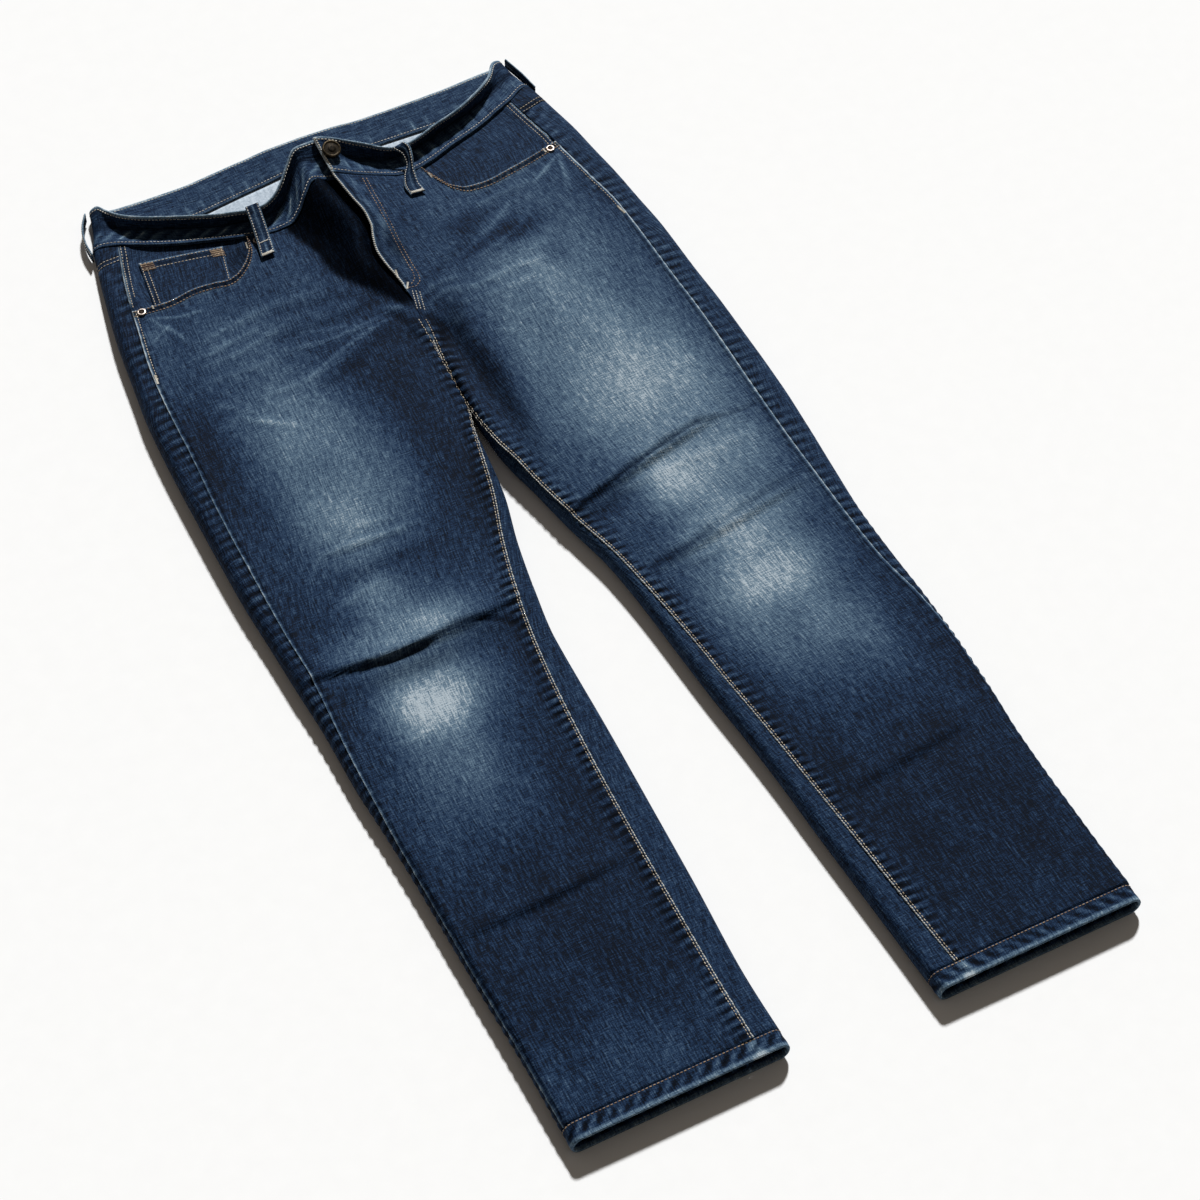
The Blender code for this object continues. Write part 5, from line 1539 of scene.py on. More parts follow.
def front_cloth(side):
    """The front panel: felled seams, puckers, creases and fades."""
    sign = OUTWARD[side]
    border_x, border_y, corner = front_border(side)
    inner = front_inner(side, border_y)
    outseam = LEGS[side].read("outseam", border_y) - sign * HALF_GAP
    share = (border_x - inner) / (outseam - inner)
    share[0], share[-1] = 0.0, 1.0
    # Where the mouth drops straight down, its columns still stand half a millimetre apart
    apart = LEAST_STEP / abs(outseam - inner)
    for i in range(1, len(share)):
        share[i] = max(share[i], share[i - 1] + apart[i])
    share /= share[-1]
    rows_y = np.linspace(HEM_Y[side] + HEM_DEPTH, SHAPED_FROM_Y, FRONT_ROWS)
    rows = [front_point(side, share, np.full(len(share), y)) for y in rows_y]
    for v in np.linspace(0.0, 1.0, FRONT_TOP_ROWS)[1:]:
        rows.append(front_point(side, share, SHAPED_FROM_Y + (border_y - SHAPED_FROM_Y) * v))
    cloth = Cloth(np.array(rows), sign)
    cloth.corner = corner
    x, y = cloth.x, cloth.y
    middle = 0.5 * (LEGS[side].read("inseam", y) + LEGS[side].read("outseam", y))
    cloth.map = (x - middle, y)
    inner, outer = cloth.start, cloth.end
    right = side == "right"
    cloth.wear += pale(RIGHT_PALE if right else LEFT_PALE, x, y)
    creases(RIGHT_CREASES if right else LEFT_CREASES, cloth)
    # Painted shade from the tables of dents, hollows and folds
    cloth.shade *= np.clip(1.0 - pale(RIGHT_PAINTED_SHADE if right else LEFT_PAINTED_SHADE, x, y), 0.1, 1.0)
    # The cloth is never quite flat
    cloth.relief += 0.25 * wobble(x / 23.0 + y / 61.0, y / 27.0 - x / 47.0, x / 11.0 + y / 17.0)
    cloth.wear += 0.03 * wobble(x / 13.0 + y / 41.0, x / 7.0 - y / 29.0)
    # Outseam: the allowance lies under this side, and its edge is rubbed
    low = 1.0 - smooth_step(338.0, 362.0, y)
    cloth.relief += 0.6 * (1.0 - smooth_step(FELL_FROM, FELL_TO, outer)) * low
    ridge = puckers(y, outer, PUCKER_OUTSEAM, 7.0, OUTSEAM_SEED[side]) * low
    cloth.relief += 0.35 * ridge
    rubbed = 0.65 + 0.25 * smooth_step(240.0, 270.0, y)
    cloth.wear += 0.16 * ridge + rubbed * near(outer, 0.0, 1.3)
    cloth.shade *= 1.0 - 0.5 * low * near(outer, 3.4, 1.2)
    # Inseam: the felled edge is on this side, and it puckers; the troughs between the puckers are darker,
    # partly dye kept there and partly painted shade
    leg = 1.0 - smooth_step(225.0, 255.0, y)
    cloth.relief += 0.7 * (1.0 - smooth_step(INSEAM_FELL_FROM, INSEAM_FELL_TO, inner)) * leg
    ridge = puckers(y, inner - 4.0, PUCKER_INSEAM, 9.5, INSEAM_SEED[side]) * leg
    cloth.relief += 0.8 * ridge
    cloth.wear += 0.34 * ridge
    cloth.wear += leg * (0.7 * near(inner, 0.0, 1.2) - 0.05 * near(inner, 0.0, 10.0))
    cloth.shade *= 1.0 - 0.9 * np.clip(-ridge, 0.0, 1.0)
    # Pocket's mouth: a hem turned to the inside, rubbed along its fold, with painted shade along the groove
    # in the hem
    climb = arc(cloth.grid.swapaxes(0, 1)).T
    depth = climb[-1:] - climb
    mouth = np.zeros_like(x)
    mouth[:, corner:] = 1.0
    slant = BORDER_STEP * np.arange(x.shape[1])[None] + 0.6 * depth
    rope = puckers(slant, depth - 4.0, PUCKER_MOUTH, 4.5, MOUTH_SEED[side]) * mouth
    cloth.relief += 0.3 * rope
    cloth.wear += 0.2 * rope
    groove = near(depth, 4.2, 1.6)
    cloth.relief += mouth * (0.7 * (1.0 - smooth_step(7.5, 10.0, depth)) - 0.3 * groove)
    beside = near(depth, 8.8, 1.6)
    cloth.wear += mouth * (0.42 * near(depth, 0.0, 1.2) + 0.16 * beside)
    cloth.shade *= 1.0 - 0.72 * mouth * near(depth, 4.3, 3.0, 4)
    # Fly: a rubbed edge on the side that laps over, a painted shadow over the fold's flank on the other
    if right:
        reach = Table(FLANK_PAINTED_SHADOW_COLUMNS, FLANK_PAINTED_SHADOW).read("reach", y)
        away = CRESTS.read("x", y) - x
        dark = smooth_step(258.0, 275.0, y) * (1.0 - smooth_step(reach - 3.5, reach + 2.5, away))
        # The painted shadow is a little lighter on a strip 14 mm from the crest, where a lit bump is
        # painted, and the wear is lowered under it too
        bump = near(away, 14.0, 4.0) * smooth_step(300.0, 330.0, y)
        cloth.shade *= 1.0 - dark * (0.86 - 0.22 * bump)
        cloth.wear -= 0.12 * dark
    else:
        fly = smooth_step(275.0, 290.0, y)
        cloth.wear += fly * 1.1 * near(inner, 0.0, 1.9, 4)
        swing = inner - 11.0 - 2.0 * np.sin(y / 9.0)
        strip = near(swing, 0.0, 3.2) * smooth_step(335.0, 350.0, y)
        cloth.wear += 0.34 * strip * (0.7 + 0.3 * np.sin(y / 4.0))
        cloth.shade *= 1.0 - 0.45 * fly * near(inner, 4.6, 1.8)
    cloth.raise_up()
    return cloth


def back_cloth(side):
    """The back panel, round the side roll and underneath: puckers along the outseam."""
    sign = OUTWARD[side]
    rows_low = np.linspace(HEM_Y[side] + HEM_DEPTH, SHAPED_FROM_Y, BACK_ROWS)
    grid = back_grid(side, FINE_BACK_SHARES, rows_low, np.linspace(0.0, 1.0, BACK_TOP_ROWS)[1:])
    cloth = Cloth(grid, sign)
    x, y, z = cloth.x, cloth.y, cloth.z
    outer, inner = cloth.start, cloth.end
    under = 1.0 - smooth_step(1.0, 6.0, z)
    cloth.wear += pale(BACK_PALE, x, y) * under
    # The inner flanks are paler; the left leg's upper half is painted paler too, painted light where it
    # faces the lamp
    cloth.wear += (1.0 - under) * (0.05 + 0.07 * (inner < outer))
    if side == "left":
        cloth.wear += 0.1 * (1.0 - under) * smooth_step(-260.0, 0.0, y)
    cloth.relief += 0.2 * wobble(outer / 19.0 + y / 53.0, y / 31.0) * (1.0 - under)
    ridge = puckers(y, outer, PUCKER_OUTSEAM, 15.0, OUTSEAM_SEED[side]) * (1.0 - under)
    cloth.relief += 0.8 * ridge
    cloth.wear += 0.28 * ridge - 0.03 * (1.0 - under)
    # Painted shade in the troughs between the puckers, and darker along the seam's edge
    cloth.shade *= 1.0 - 0.5 * np.maximum(-ridge, 0.0) - 0.4 * (1.0 - under) * near(outer, 0.0, 1.3)
    cloth.raise_up()
    return cloth


def yoke_cloth(side):
    """The yoke between the back panel and the waistband."""
    grid = yoke_grid(side, FINE_BACK_SHARES, np.linspace(0.0, 1.0, 13))
    cloth = Cloth(grid, OUTWARD[side])
    under = 1.0 - smooth_step(1.0, 6.0, cloth.z)
    ridge = puckers(cloth.y, cloth.start, PUCKER_OUTSEAM, 12.0, YOKE_SEED) * (1.0 - under)
    felled = near(cloth.start, 0.0, 1.4) * (1.0 - under)
    cloth.relief += 0.35 * ridge
    cloth.wear += 0.14 * ridge + 0.2 * felled
    # Felled lap at the outseam, dark between its stitches
    lap, half = (425.0, 10.0) if side == "right" else (443.0, 5.0)
    strap = near(cloth.y, lap, half, 4) * (1.0 - under)
    cloth.shade *= 1.0 - 0.45 * strap
    cloth.raise_up()
    return cloth


def facing_cloth(side):
    """The facing that shows in the pocket's mouth."""
    cloth = Cloth(facing_grid(side, np.linspace(-0.1, 1.0, 60), np.linspace(0.0, 1.07, 38)), OUTWARD[side])
    cloth.wear += 0.06 + 0.03 * wobble(cloth.x / 19.0, cloth.y / 13.0, cloth.x / 5.0 - cloth.y / 9.0)
    cloth.relief += 0.2 * wobble(cloth.x / 17.0 + cloth.y / 23.0, cloth.y / 19.0)
    # Its outer edge comes up to the outseam, above the mouth
    mouth_end = float(MOUTHS[side].read("y", 1.0))
    above = smooth_step(mouth_end + 2.0, mouth_end + 12.0, cloth.y)
    cloth.relief += 1.3 * above * (1.0 - smooth_step(8.0, 13.0, cloth.end))
    cloth.wear += above * 0.75 * near(cloth.end, 0.0, 1.4)
    cloth.shade *= 1.0 - 0.5 * above * near(cloth.end, 3.6, 1.1)
    # A painted shadow in the hollow between the coin pocket and the mouth
    if side == "right":
        hollow = near(cloth.x, -117.0, 13.0) * near(cloth.y, 391.0, 17.0)
        cloth.shade *= 1.0 - 0.5 * hollow
    cloth.raise_up()
    return cloth


def coin_cloth():
    """The coin pocket on the right facing."""
    cloth = Cloth(coin_grid(np.linspace(0.0, 1.0, 44), np.linspace(0.0, 1.0, 36)), 1.0)
    edge = cloth.grid[-1:, :, 1] - cloth.y
    cloth.relief += 0.5 * (1.0 - smooth_step(9.0, 12.0, edge)) + 0.2 * wobble(cloth.x / 15.0, cloth.y / 17.0)
    cloth.wear += 0.04 + 0.55 * near(edge, 0.0, 1.3)
    cloth.shade *= 1.0 - 0.45 * near(edge, 5.2, 2.4, 4)
    rim = np.minimum(cloth.start, cloth.end)
    cloth.wear += 0.30 * near(rim, 0.0, 1.3)
    cloth.shade *= 1.0 - 0.4 * near(cloth.start, 3.6, 1.4)
    cloth.raise_up()
    return cloth


def hem_cloth(side):
    """The hem, turned up to the inside: roped ridges run across it on the slant."""
    sign = OUTWARD[side]
    grid = hem_grid(side, 260, np.linspace(0.0, 1.0, 15))
    cloth = Cloth(grid, -sign, closed=True)
    drop = smooth_step(0.0, 1.0, (HEM_Y[side] + HEM_DEPTH - cloth.y) / HEM_DEPTH)
    slant = cloth.start + 0.9 * cloth.y
    ridge = puckers(slant, np.zeros_like(cloth.x), PUCKER_HEM, 10.0, HEM_SEED[side])
    inside = np.maximum(0.0, np.sin(np.pi * np.clip(drop, 0.0, 1.0)))
    cloth.relief += 0.4 * ridge * inside
    seam_x = float(LEGS[side].read("inseam", HEM_Y[side]))
    felled = near(cloth.x, seam_x + 3.0 * sign, 5.0, 4) * smooth_step(8.0, 14.0, cloth.z)
    cloth.wear += 0.05 + 0.28 * ridge * inside + 0.4 * felled
    cloth.wear += 0.5 * smooth_step(0.82, 1.0, drop)
    # Painted shade in the troughs between the ridges
    cloth.shade *= 1.0 - 0.5 * np.maximum(-ridge, 0.0) * inside
    cloth.raise_up()
    cloth.grid[-1, :, 1] = HEM_Y[side]
    return folded(cloth, 14, False)


def band_cloth():
    """The waistband, folded along its top edge, from the left end at the fly round to the right end."""
    strips = []
    for side in ("left", "right"):
        x, top = band_stations(side)
        lines = band_lines(side, x, top)
        middle = lines[1]
        run = np.concatenate([[0.0], np.cumsum(np.linalg.norm(np.diff(middle, axis=0), axis=1))])
        flat = np.concatenate([line.T for line in lines] + [top[None]])
        table = Table(("run",) + tuple(range(10)), np.column_stack([run, flat.T]))
        at = np.linspace(0.0, run[-1], BAND_COLUMNS_SHOWN)
        values = np.array([table.read(i, at) for i in range(10)])
        seam, crease, edge = values[:3].T, values[3:6].T, values[6:9].T
        rows = np.concatenate([[BAND_FOOT], np.linspace(0.0, 1.0, BAND_ROWS_SHOWN)])
        strip = np.array([band_point(seam, crease, edge, max(v, 0.0)) for v in rows])
        strip[0] += (strip[1] - strip[2]) * 0.9
        strips.append((strip, np.broadcast_to(values[9], strip.shape[:2])))
    (left, left_top), (right, right_top) = strips
    grid = np.concatenate([left, right[:, ::-1][:, 1:]], axis=1)
    front = np.concatenate([left_top, right_top[:, ::-1][:, 1:]], axis=1)
    cloth = Cloth(grid, 1.0)
    rows = np.linspace(BAND_FOOT, 1.0, grid.shape[0])[:, None] + np.zeros_like(cloth.x)
    foot = 1.0 - smooth_step(0.02, 0.2, rows)
    ridge = puckers(cloth.start, np.zeros_like(cloth.x), PUCKER_BAND, 10.0, BAND_SEED)
    low = np.sin(np.pi * np.clip(rows / 0.55, 0.0, 1.0))
    cloth.relief += front * (0.9 * foot + 0.35 * ridge * low)
    # Small rubbed marks stand side by side above the seam
    beat = np.mod(cloth.start + 3.0 * np.sin(cloth.start / 37.0), RUB_SPACING) - 0.5 * RUB_SPACING
    mark = near(beat, 0.0, 1.6) * (0.65 + 0.35 * np.sin(cloth.start / 11.0))
    mark *= np.sin(np.pi * np.clip((rows - 0.08) / 0.42, 0.0, 1.0))
    cloth.wear += 0.08 + front * (0.14 * low + 0.55 * mark + 0.16 * ridge * low)
    # Its top fold, its foot and its two ends are rubbed
    cloth.wear += 0.6 * smooth_step(0.94, 1.0, rows) + 0.2 * (1.0 - smooth_step(-0.04, 0.05, rows))
    cloth.wear += 1.1 * near(cloth.start, 0.0, 2.4) + 0.3 * near(cloth.end, 0.0, 2.0)
    # Painted shade along the band's crease
    cloth.shade *= 1.0 - 0.5 * front * near(rows, CREASE_SHARE + 0.02, 0.07)
    cloth.raise_up()
    whole = folded(cloth, BAND_ROWS_SHOWN + 1, True)
    run = arc(cloth.grid)[:1] + np.zeros((len(whole.grid), 1))
    # The back's inner leaf: small rubbed ridges above its lower seam
    number = np.arange(len(whole.grid), dtype=float)
    height = np.clip((len(number) - 1 - number) / BAND_ROWS_SHOWN, 0.0, 1.0)[:, None]
    inside = (number >= len(number) - BAND_ROWS_SHOWN - 1)[:, None] * (1.0 - front[0])[None]
    beat = np.mod(run + 2.0 * np.sin(run / 31.0), RUB_SPACING) - 0.5 * RUB_SPACING
    mark = near(beat, 0.0, 1.5) * (0.7 + 0.3 * np.sin(run / 9.0))
    window = smooth_step(0.04, 0.14, height) * (1.0 - smooth_step(0.30, 0.48, height))
    edge = near(height, 0.97, 0.03)
    whole.wear += inside * (0.10 + 0.38 * mark * window + 0.25 * edge)
    whole.shade *= 1.0 - inside * 0.35 * near(height, 0.12, 0.05) * (1.0 - mark)
    whole.map = (arc(whole.grid.swapaxes(0, 1)).T, run)
    return whole


def loop_cloth(rows, wider, sign):
    """A belt loop: a strip with raised, rubbed edges."""
    half = np.array([0.2, 0.45, 0.7, 0.85, 0.94, 1.0])
    across = np.concatenate([-half[::-1], [0.0], half])
    cloth = Cloth(loop_grid(rows, 40, across * wider), 1.0)
    cloth.sign = sign
    u = across + np.zeros_like(cloth.x)
    spine = near(u, 0.0, 0.2)
    welt = near(np.abs(u), 0.72, 0.16)
    cloth.relief += 0.45 * welt + 0.3 * spine - 0.3 * np.abs(u) ** 8
    cloth.wear += 0.10 + 0.55 * smooth_step(0.78, 1.0, np.abs(u)) + 0.4 * near(u, 0.0, 0.16)
    cloth.shade *= 1.0 - 0.4 * near(np.abs(u), 0.42, 0.14)
    cloth.raise_up()
    return cloth


def patch_cloth(outline, count):
    """A flat patch whose outer side lies down, from a four or five sided outline."""
    points = np.array(outline, float)
    top_left, top_right, low_right = points[:3]
    low_left = points[-1]
    tip = points[3] if len(points) == 5 else 0.5 * (low_left + low_right)
    share = np.linspace(0.0, 1.0, count)
    top = top_left + (top_right - top_left) * share[:, None]
    foot_columns = [np.interp(share, [0, 0.5, 1], [low_left[i], tip[i], low_right[i]]) for i in range(2)]
    foot = np.stack(foot_columns, 1)
    plan = top[None] + (foot - top)[None] * share[:, None, None]
    cloth = Cloth(np.concatenate([plan, np.zeros((count, count, 1))], 2), 1.0)
    cloth.grid[..., 2] = PATCH_CLEAR
    return cloth


def stitch_row(points, normals, pitch=STITCH_PITCH, length=STITCH_LENGTH):
    """Where the stitches of one row lie: middle, direction and normal of each."""
    steps = np.linalg.norm(np.diff(points, axis=0), axis=1)
    keep = np.concatenate([[True], steps > 1e-6])
    points, normals = points[keep], normals[keep]
    run = np.concatenate([[0.0], np.cumsum(np.linalg.norm(np.diff(points, axis=0), axis=1))])
    count = max(1, int(run[-1] / pitch))

    def along(values, at):
        return np.array([np.interp(at, run, column) for column in values.T])

    found = []
    for at in (np.arange(count) + 0.5) * run[-1] / count:
        start, end, middle = (along(points, at + s * length) for s in (-0.5, 0.5, 0.0))
        found.append((0.5 * middle + 0.25 * (start + end), end - start, along(normals, at)))
    return found


# A stitch at five places along it: where, how wide, how high it stands
STITCH_RINGS = ((-0.5, 0.0, -0.1), (-0.36, 0.8, 0.15), (0.0, 1.0, 0.5), (0.36, 0.8, 0.15), (0.5, 0.0, -0.1))


def stitch_mesh(name, rows, material, width=STITCH_WIDTH, height=STITCH_HEIGHT):
    """All stitches of a seam as one mesh: each a short rounded rod, sunk at both ends."""
    points, faces = [], []
    for middle, heading, normal in rows:
        length = np.linalg.norm(heading)
        if length < 1e-6:
            continue
        ahead = heading / length
        normal = normal - ahead * normal.dot(ahead)
        normal = normal / max(np.linalg.norm(normal), 1e-9)
        aside = np.cross(ahead, normal)
        base = len(points)
        spots = [middle + ahead * at * length + normal * up * height for at, _, up in STITCH_RINGS]
        points.append(spots[0])
        for spot, (_, wide, _) in zip(spots[1:4], STITCH_RINGS[1:4]):
            side, top = aside * width * wide, normal * height * wide
            points += [spot + side, spot + top, spot - side, spot - top]
        points.append(spots[4])
        for k in range(4):
            j = (k + 1) % 4
            faces.append((base, base + 1 + k, base + 1 + j))
            for ring_at in (base + 1, base + 5):
                faces.append((ring_at + k, ring_at + 4 + k, ring_at + 4 + j, ring_at + j))
            faces.append((base + 9 + k, base + 13, base + 9 + j))
    points = np.array(points)
    # Those under the garment are pressed flat: nothing is pushed through the floor
    points[:, 2] = np.maximum(points[:, 2], 0.0)
    mesh = bpy.data.meshes.new(name)
    mesh.from_pydata(shifted(points).tolist(), [], faces)
    mesh.materials.append(material)
    mesh.shade_smooth()
    made = bpy.data.objects.new(name, mesh)
    bpy.context.scene.collection.objects.link(made)
    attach(made, "root")


def inset_line(cloth, distance, from_end=False, low=-1e9, high=1e9):
    """A line on the cloth at a distance from its first or last column, between two rows in plan."""
    grid, normals = cloth.grid, outward_normals(cloth.grid, cloth.sign)
    depth = arc(grid)
    if from_end:
        depth = depth[:, -1:] - depth
    points, directions = [], []
    for r in range(len(grid)):
        if not low <= grid[r, 0 if not from_end else -1, 1] <= high:
            continue
        order = slice(None, None, -1) if from_end else slice(None)
        d = depth[r][order]
        points.append([np.interp(distance, d, grid[r, order, i]) for i in range(3)])
        directions.append([np.interp(distance, d, normals[r, order, i]) for i in range(3)])
    return np.array(points), np.array(directions)


def surface_tree(clothes):
    """The cloth as faces to drop points on."""
    points, faces = [], []
    for cloth in clothes:
        rows, columns = cloth.grid.shape[:2]
        base = len(points)
        points += cloth.grid.reshape(-1, 3).tolist()
        for r in range(rows - 1):
            for c in range(columns - 1):
                low, high = base + r * columns + c, base + (r + 1) * columns + c
                faces.append((low, low + 1, high + 1, high))
    return BVHTree.FromPolygons(points, faces)


def dropped(tree, path, step=1.5, below=False):
    """A line in plan laid on the cloth, from above or from below."""
    path = np.array(path, float)
    run = np.concatenate([[0.0], np.cumsum(np.linalg.norm(np.diff(path, axis=0), axis=1))])
    at = np.linspace(0.0, run[-1], max(2, int(run[-1] / step) + 1))
    points, directions = [], []
    for s in at:
        x, y = (float(np.interp(s, run, path[:, i])) for i in range(2))
        start, way = ((x, y, -20.0), (0, 0, 1)) if below else ((x, y, 90.0), (0, 0, -1))
        spot, normal, _, _ = tree.ray_cast(start, way)
        if spot is None:
            continue
        normal = np.array(normal)
        if normal[2] * way[2] > 0:
            normal = -normal
        points.append(np.array(spot))
        directions.append(normal)
    return np.array(points), np.array(directions)


def row_line(cloth, row):
    """One row of a cloth's grid, with its normals."""
    normals = outward_normals(cloth.grid, cloth.sign)
    points, directions = cloth.grid[row], normals[row]
    if cloth.closed:
        points, directions = np.vstack([points, points[:1]]), np.vstack([directions, directions[:1]])
    return points, directions


def border_line(cloth, distance, first=0, from_foot=False):
    """A line at a distance from the cloth's last (or first) row, from one of its columns on."""
    grid, normals = cloth.grid, outward_normals(cloth.grid, cloth.sign)
    if not from_foot:
        grid, normals = grid[::-1], normals[::-1]
    grid, normals = grid[:, first:], normals[:, first:]
    steps = np.linalg.norm(np.diff(grid, axis=0), axis=2)
    depth = np.vstack([np.zeros((1, steps.shape[1])), np.cumsum(steps, axis=0)])
    found = []
    for values in (grid, normals):
        columns = zip(depth.T, values.transpose(1, 2, 0))
        found.append([[np.interp(distance, run, part) for part in column] for run, column in columns])
    return np.array(found[0]), np.array(found[1])


def bar_tack(tree, x, y, turn, length, width, below=False):
    """A bar of close stitches laid across its length."""
    angle = math.radians(turn)
    ahead = np.array([math.cos(angle), math.sin(angle)])
    aside = np.array([-math.sin(angle), math.cos(angle), 0.0])
    start, end = np.array([x, y]) - 0.5 * length * ahead, np.array([x, y]) + 0.5 * length * ahead
    points, normals = dropped(tree, (start, end), 0.75, below)
    return [(point + 0.1 * normal, aside * width, normal) for point, normal in zip(points, normals)]


def sew(cloths, tan, cream, brown):
    """All the sewing: seams, hems, pockets, waistband, loops and bar tacks."""
    sides = ("right", "left")
    rows, edge_rows = [], []
    for side in sides:
        front = cloths["front_" + side]
        rows += stitch_row(*inset_line(front, 2.8, high=250.0))
        edge_rows += stitch_row(*inset_line(front, 0.7, high=225.0), pitch=2.6, length=2.45)
        rows += stitch_row(*inset_line(front, 3.2, from_end=True, low=286.0, high=388.0))
        facing = cloths["facing_" + side]
        rows += stitch_row(*inset_line(facing, 2.2, from_end=True, low=375.0))
        rows += stitch_row(*inset_line(facing, 6.0, from_end=True, low=388.0))
    stitch_mesh("stitches_leg_seams", rows, tan)
    stitch_mesh("stitches_leg_edges", edge_rows, cream, 0.5, 0.35)

    rows = []
    for side in sides:
        rows += stitch_row(*row_line(cloths["hem_" + side], 1))
    stitch_mesh("stitches_hems", rows, brown)

    rows = []
    for side in sides:
        front = cloths["front_" + side]
        for distance in MOUTH_ROWS:
            rows += stitch_row(*border_line(front, distance, front.corner))
    stitch_mesh("stitches_mouths", rows, brown, 0.65, 0.45)

    coin = cloths["coin_pocket"]
    rows = stitch_row(*inset_line(coin, 1.6, from_end=True))
    for distance, beside in zip(COIN_ROWS, (1.4, 5.6)):
        rows += stitch_row(*border_line(coin, distance))
        rows += stitch_row(*inset_line(coin, beside))
    for side in sides:
        pocket = cloths["back_pocket_" + side]
        for distance in POCKET_ROWS:
            rows += stitch_row(*inset_line(pocket, distance))
            rows += stitch_row(*inset_line(pocket, distance, from_end=True))
            rows += stitch_row(*border_line(pocket, distance))
            rows += stitch_row(*border_line(pocket, 2.0 * distance, from_foot=True))
    stitch_mesh("stitches_pockets", rows, tan)

    rows = []
    for distance in SEAM_ROWS:
        for side in sides:
            rows += stitch_row(*border_line(cloths["yoke_" + side], distance, from_foot=True))
        rows += stitch_row(*inset_line(cloths["back_left"], distance, from_end=True, low=262.0))
        rows += stitch_row(*inset_line(cloths["yoke_left"], distance, from_end=True))
    stitch_mesh("stitches_back_seams", rows, tan)

    band = cloths["waistband"]
    rows = stitch_row(*inset_line(cloths["front_left"], 0.8, low=286.0), pitch=2.2, length=2.15)
    # Up the band's left end, from its foot to its top fold
    end = (slice(2, 22), 1)
    normals = outward_normals(band.grid, band.sign)
    rows += stitch_row(band.grid[end], normals[end], pitch=2.2, length=2.15)
    stitch_mesh("stitches_fly_edge", rows, cream, 0.8, 0.5)

    rows = []
    for row in BAND_STITCHED:
        rows += stitch_row(*row_line(band, row))
    for name in (*LOOPS, "loop_back"):
        for from_end in (False, True):
            rows += stitch_row(*inset_line(cloths[name], 1.5, from_end=from_end), pitch=2.6, length=2.1)
    stitch_mesh("stitches_waist", rows, cream)

    fronts = ("front_left", "front_right", "facing_left", "facing_right", "coin_pocket")
    tops = surface_tree([cloths[name] for name in fronts])
    loops = surface_tree([cloths[name] for name in LOOPS])
    under = surface_tree([cloths[name] for name in ("back_pocket_right", "back_pocket_left", "loop_back")])
    outer_line = [(x - 3.6, y + (3.2 if y < 300 else 0.0)) for x, y in FLY_LINE[:-1]]
    rows = stitch_row(*dropped(tops, FLY_LINE)) + stitch_row(*dropped(tops, outer_line))
    stitch_mesh("stitches_fly", rows, brown)

    rows = []
    for tack in FRONT_TACKS:
        rows += bar_tack(tops, *tack)
    for x, y in FLY_FOOT_ROWS:
        line = ((x + 2.0, y + 9.0), (x - 2.5, y - 11.0))
        rows += stitch_row(*dropped(tops, line), pitch=2.4, length=2.2)
    for tack in LOOP_TACKS:
        rows += bar_tack(loops, *tack)
    stitch_mesh("bar_tacks", rows, cream)

    rows = []
    for x, y in COIN_TACKS:
        for shift in COIN_TACK_SHIFTS:
            rows += bar_tack(tops, x, y + shift, -13, 10.5, 2.0)
    along, up = BACK_POCKET_TACK
    for middle_x, middle_y in BACK_POCKET_MIDDLES.values():
        for end in (-along, along):
            rows += bar_tack(under, middle_x + end, middle_y + up, 90, 9, 2.4, below=True)
    for y in BACK_LOOP_TACKS:
        rows += bar_tack(under, BACK_LOOP_X, y, 0, 9.5, 3.0, below=True)
    stitch_mesh("bar_tacks_brown", rows, brown)


def round_trim(radius, height, rings, dark_within, materials):
    """A round metal piece, worked up from a disc: each ring is how far in and how far up."""
    bpy.ops.object.select_all(action="DESELECT")
    bpy.ops.mesh.primitive_cylinder_add(vertices=TRIM_SIDES, radius=radius * MM, depth=height * MM)
    made = bpy.context.active_object
    bpy.ops.object.mode_set(mode="EDIT")
    bpy.ops.mesh.select_mode(type="FACE")
    bpy.ops.mesh.select_all(action="DESELECT")
    shape = bmesh.from_edit_mesh(made.data)
    for face in shape.faces:
        face.select_set(face.normal.z > 0.9)
    bmesh.update_edit_mesh(made.data)
    for inwards, upwards in rings:
        bpy.ops.mesh.inset(thickness=inwards * MM, depth=upwards * MM)
    bpy.ops.object.mode_set(mode="OBJECT")
    edges = made.modifiers.new("Eased edges", "BEVEL")
    edges.width = TRIM_EASE * MM
    edges.segments = 2
    edges.limit_method = "ANGLE"
    bpy.ops.object.modifier_apply(modifier=edges.name)
    bpy.ops.object.shade_smooth_by_angle(angle=math.radians(40.0))
    for material in materials:
        made.data.materials.append(material)
    for face in made.data.polygons:
        if face.center.xy.length < dark_within * MM and face.center.z > 0.0:
            face.material_index = len(materials) - 1
    return made


def set_down(made, node, middle, normal, height):
    """Turn a round piece to the cloth, set it down there and give it its node."""
    made.name = made.data.name = "metal_" + node
    upright = Vector(normal).normalized()
    spot = Vector(shifted(middle)) + upright * (0.5 * height + SEAM_GAP) * MM
    made.data.transform(Matrix.Translation(spot) @ upright.to_track_quat("Z", "Y").to_matrix().to_4x4())
    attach(made, "root")
    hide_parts(node)


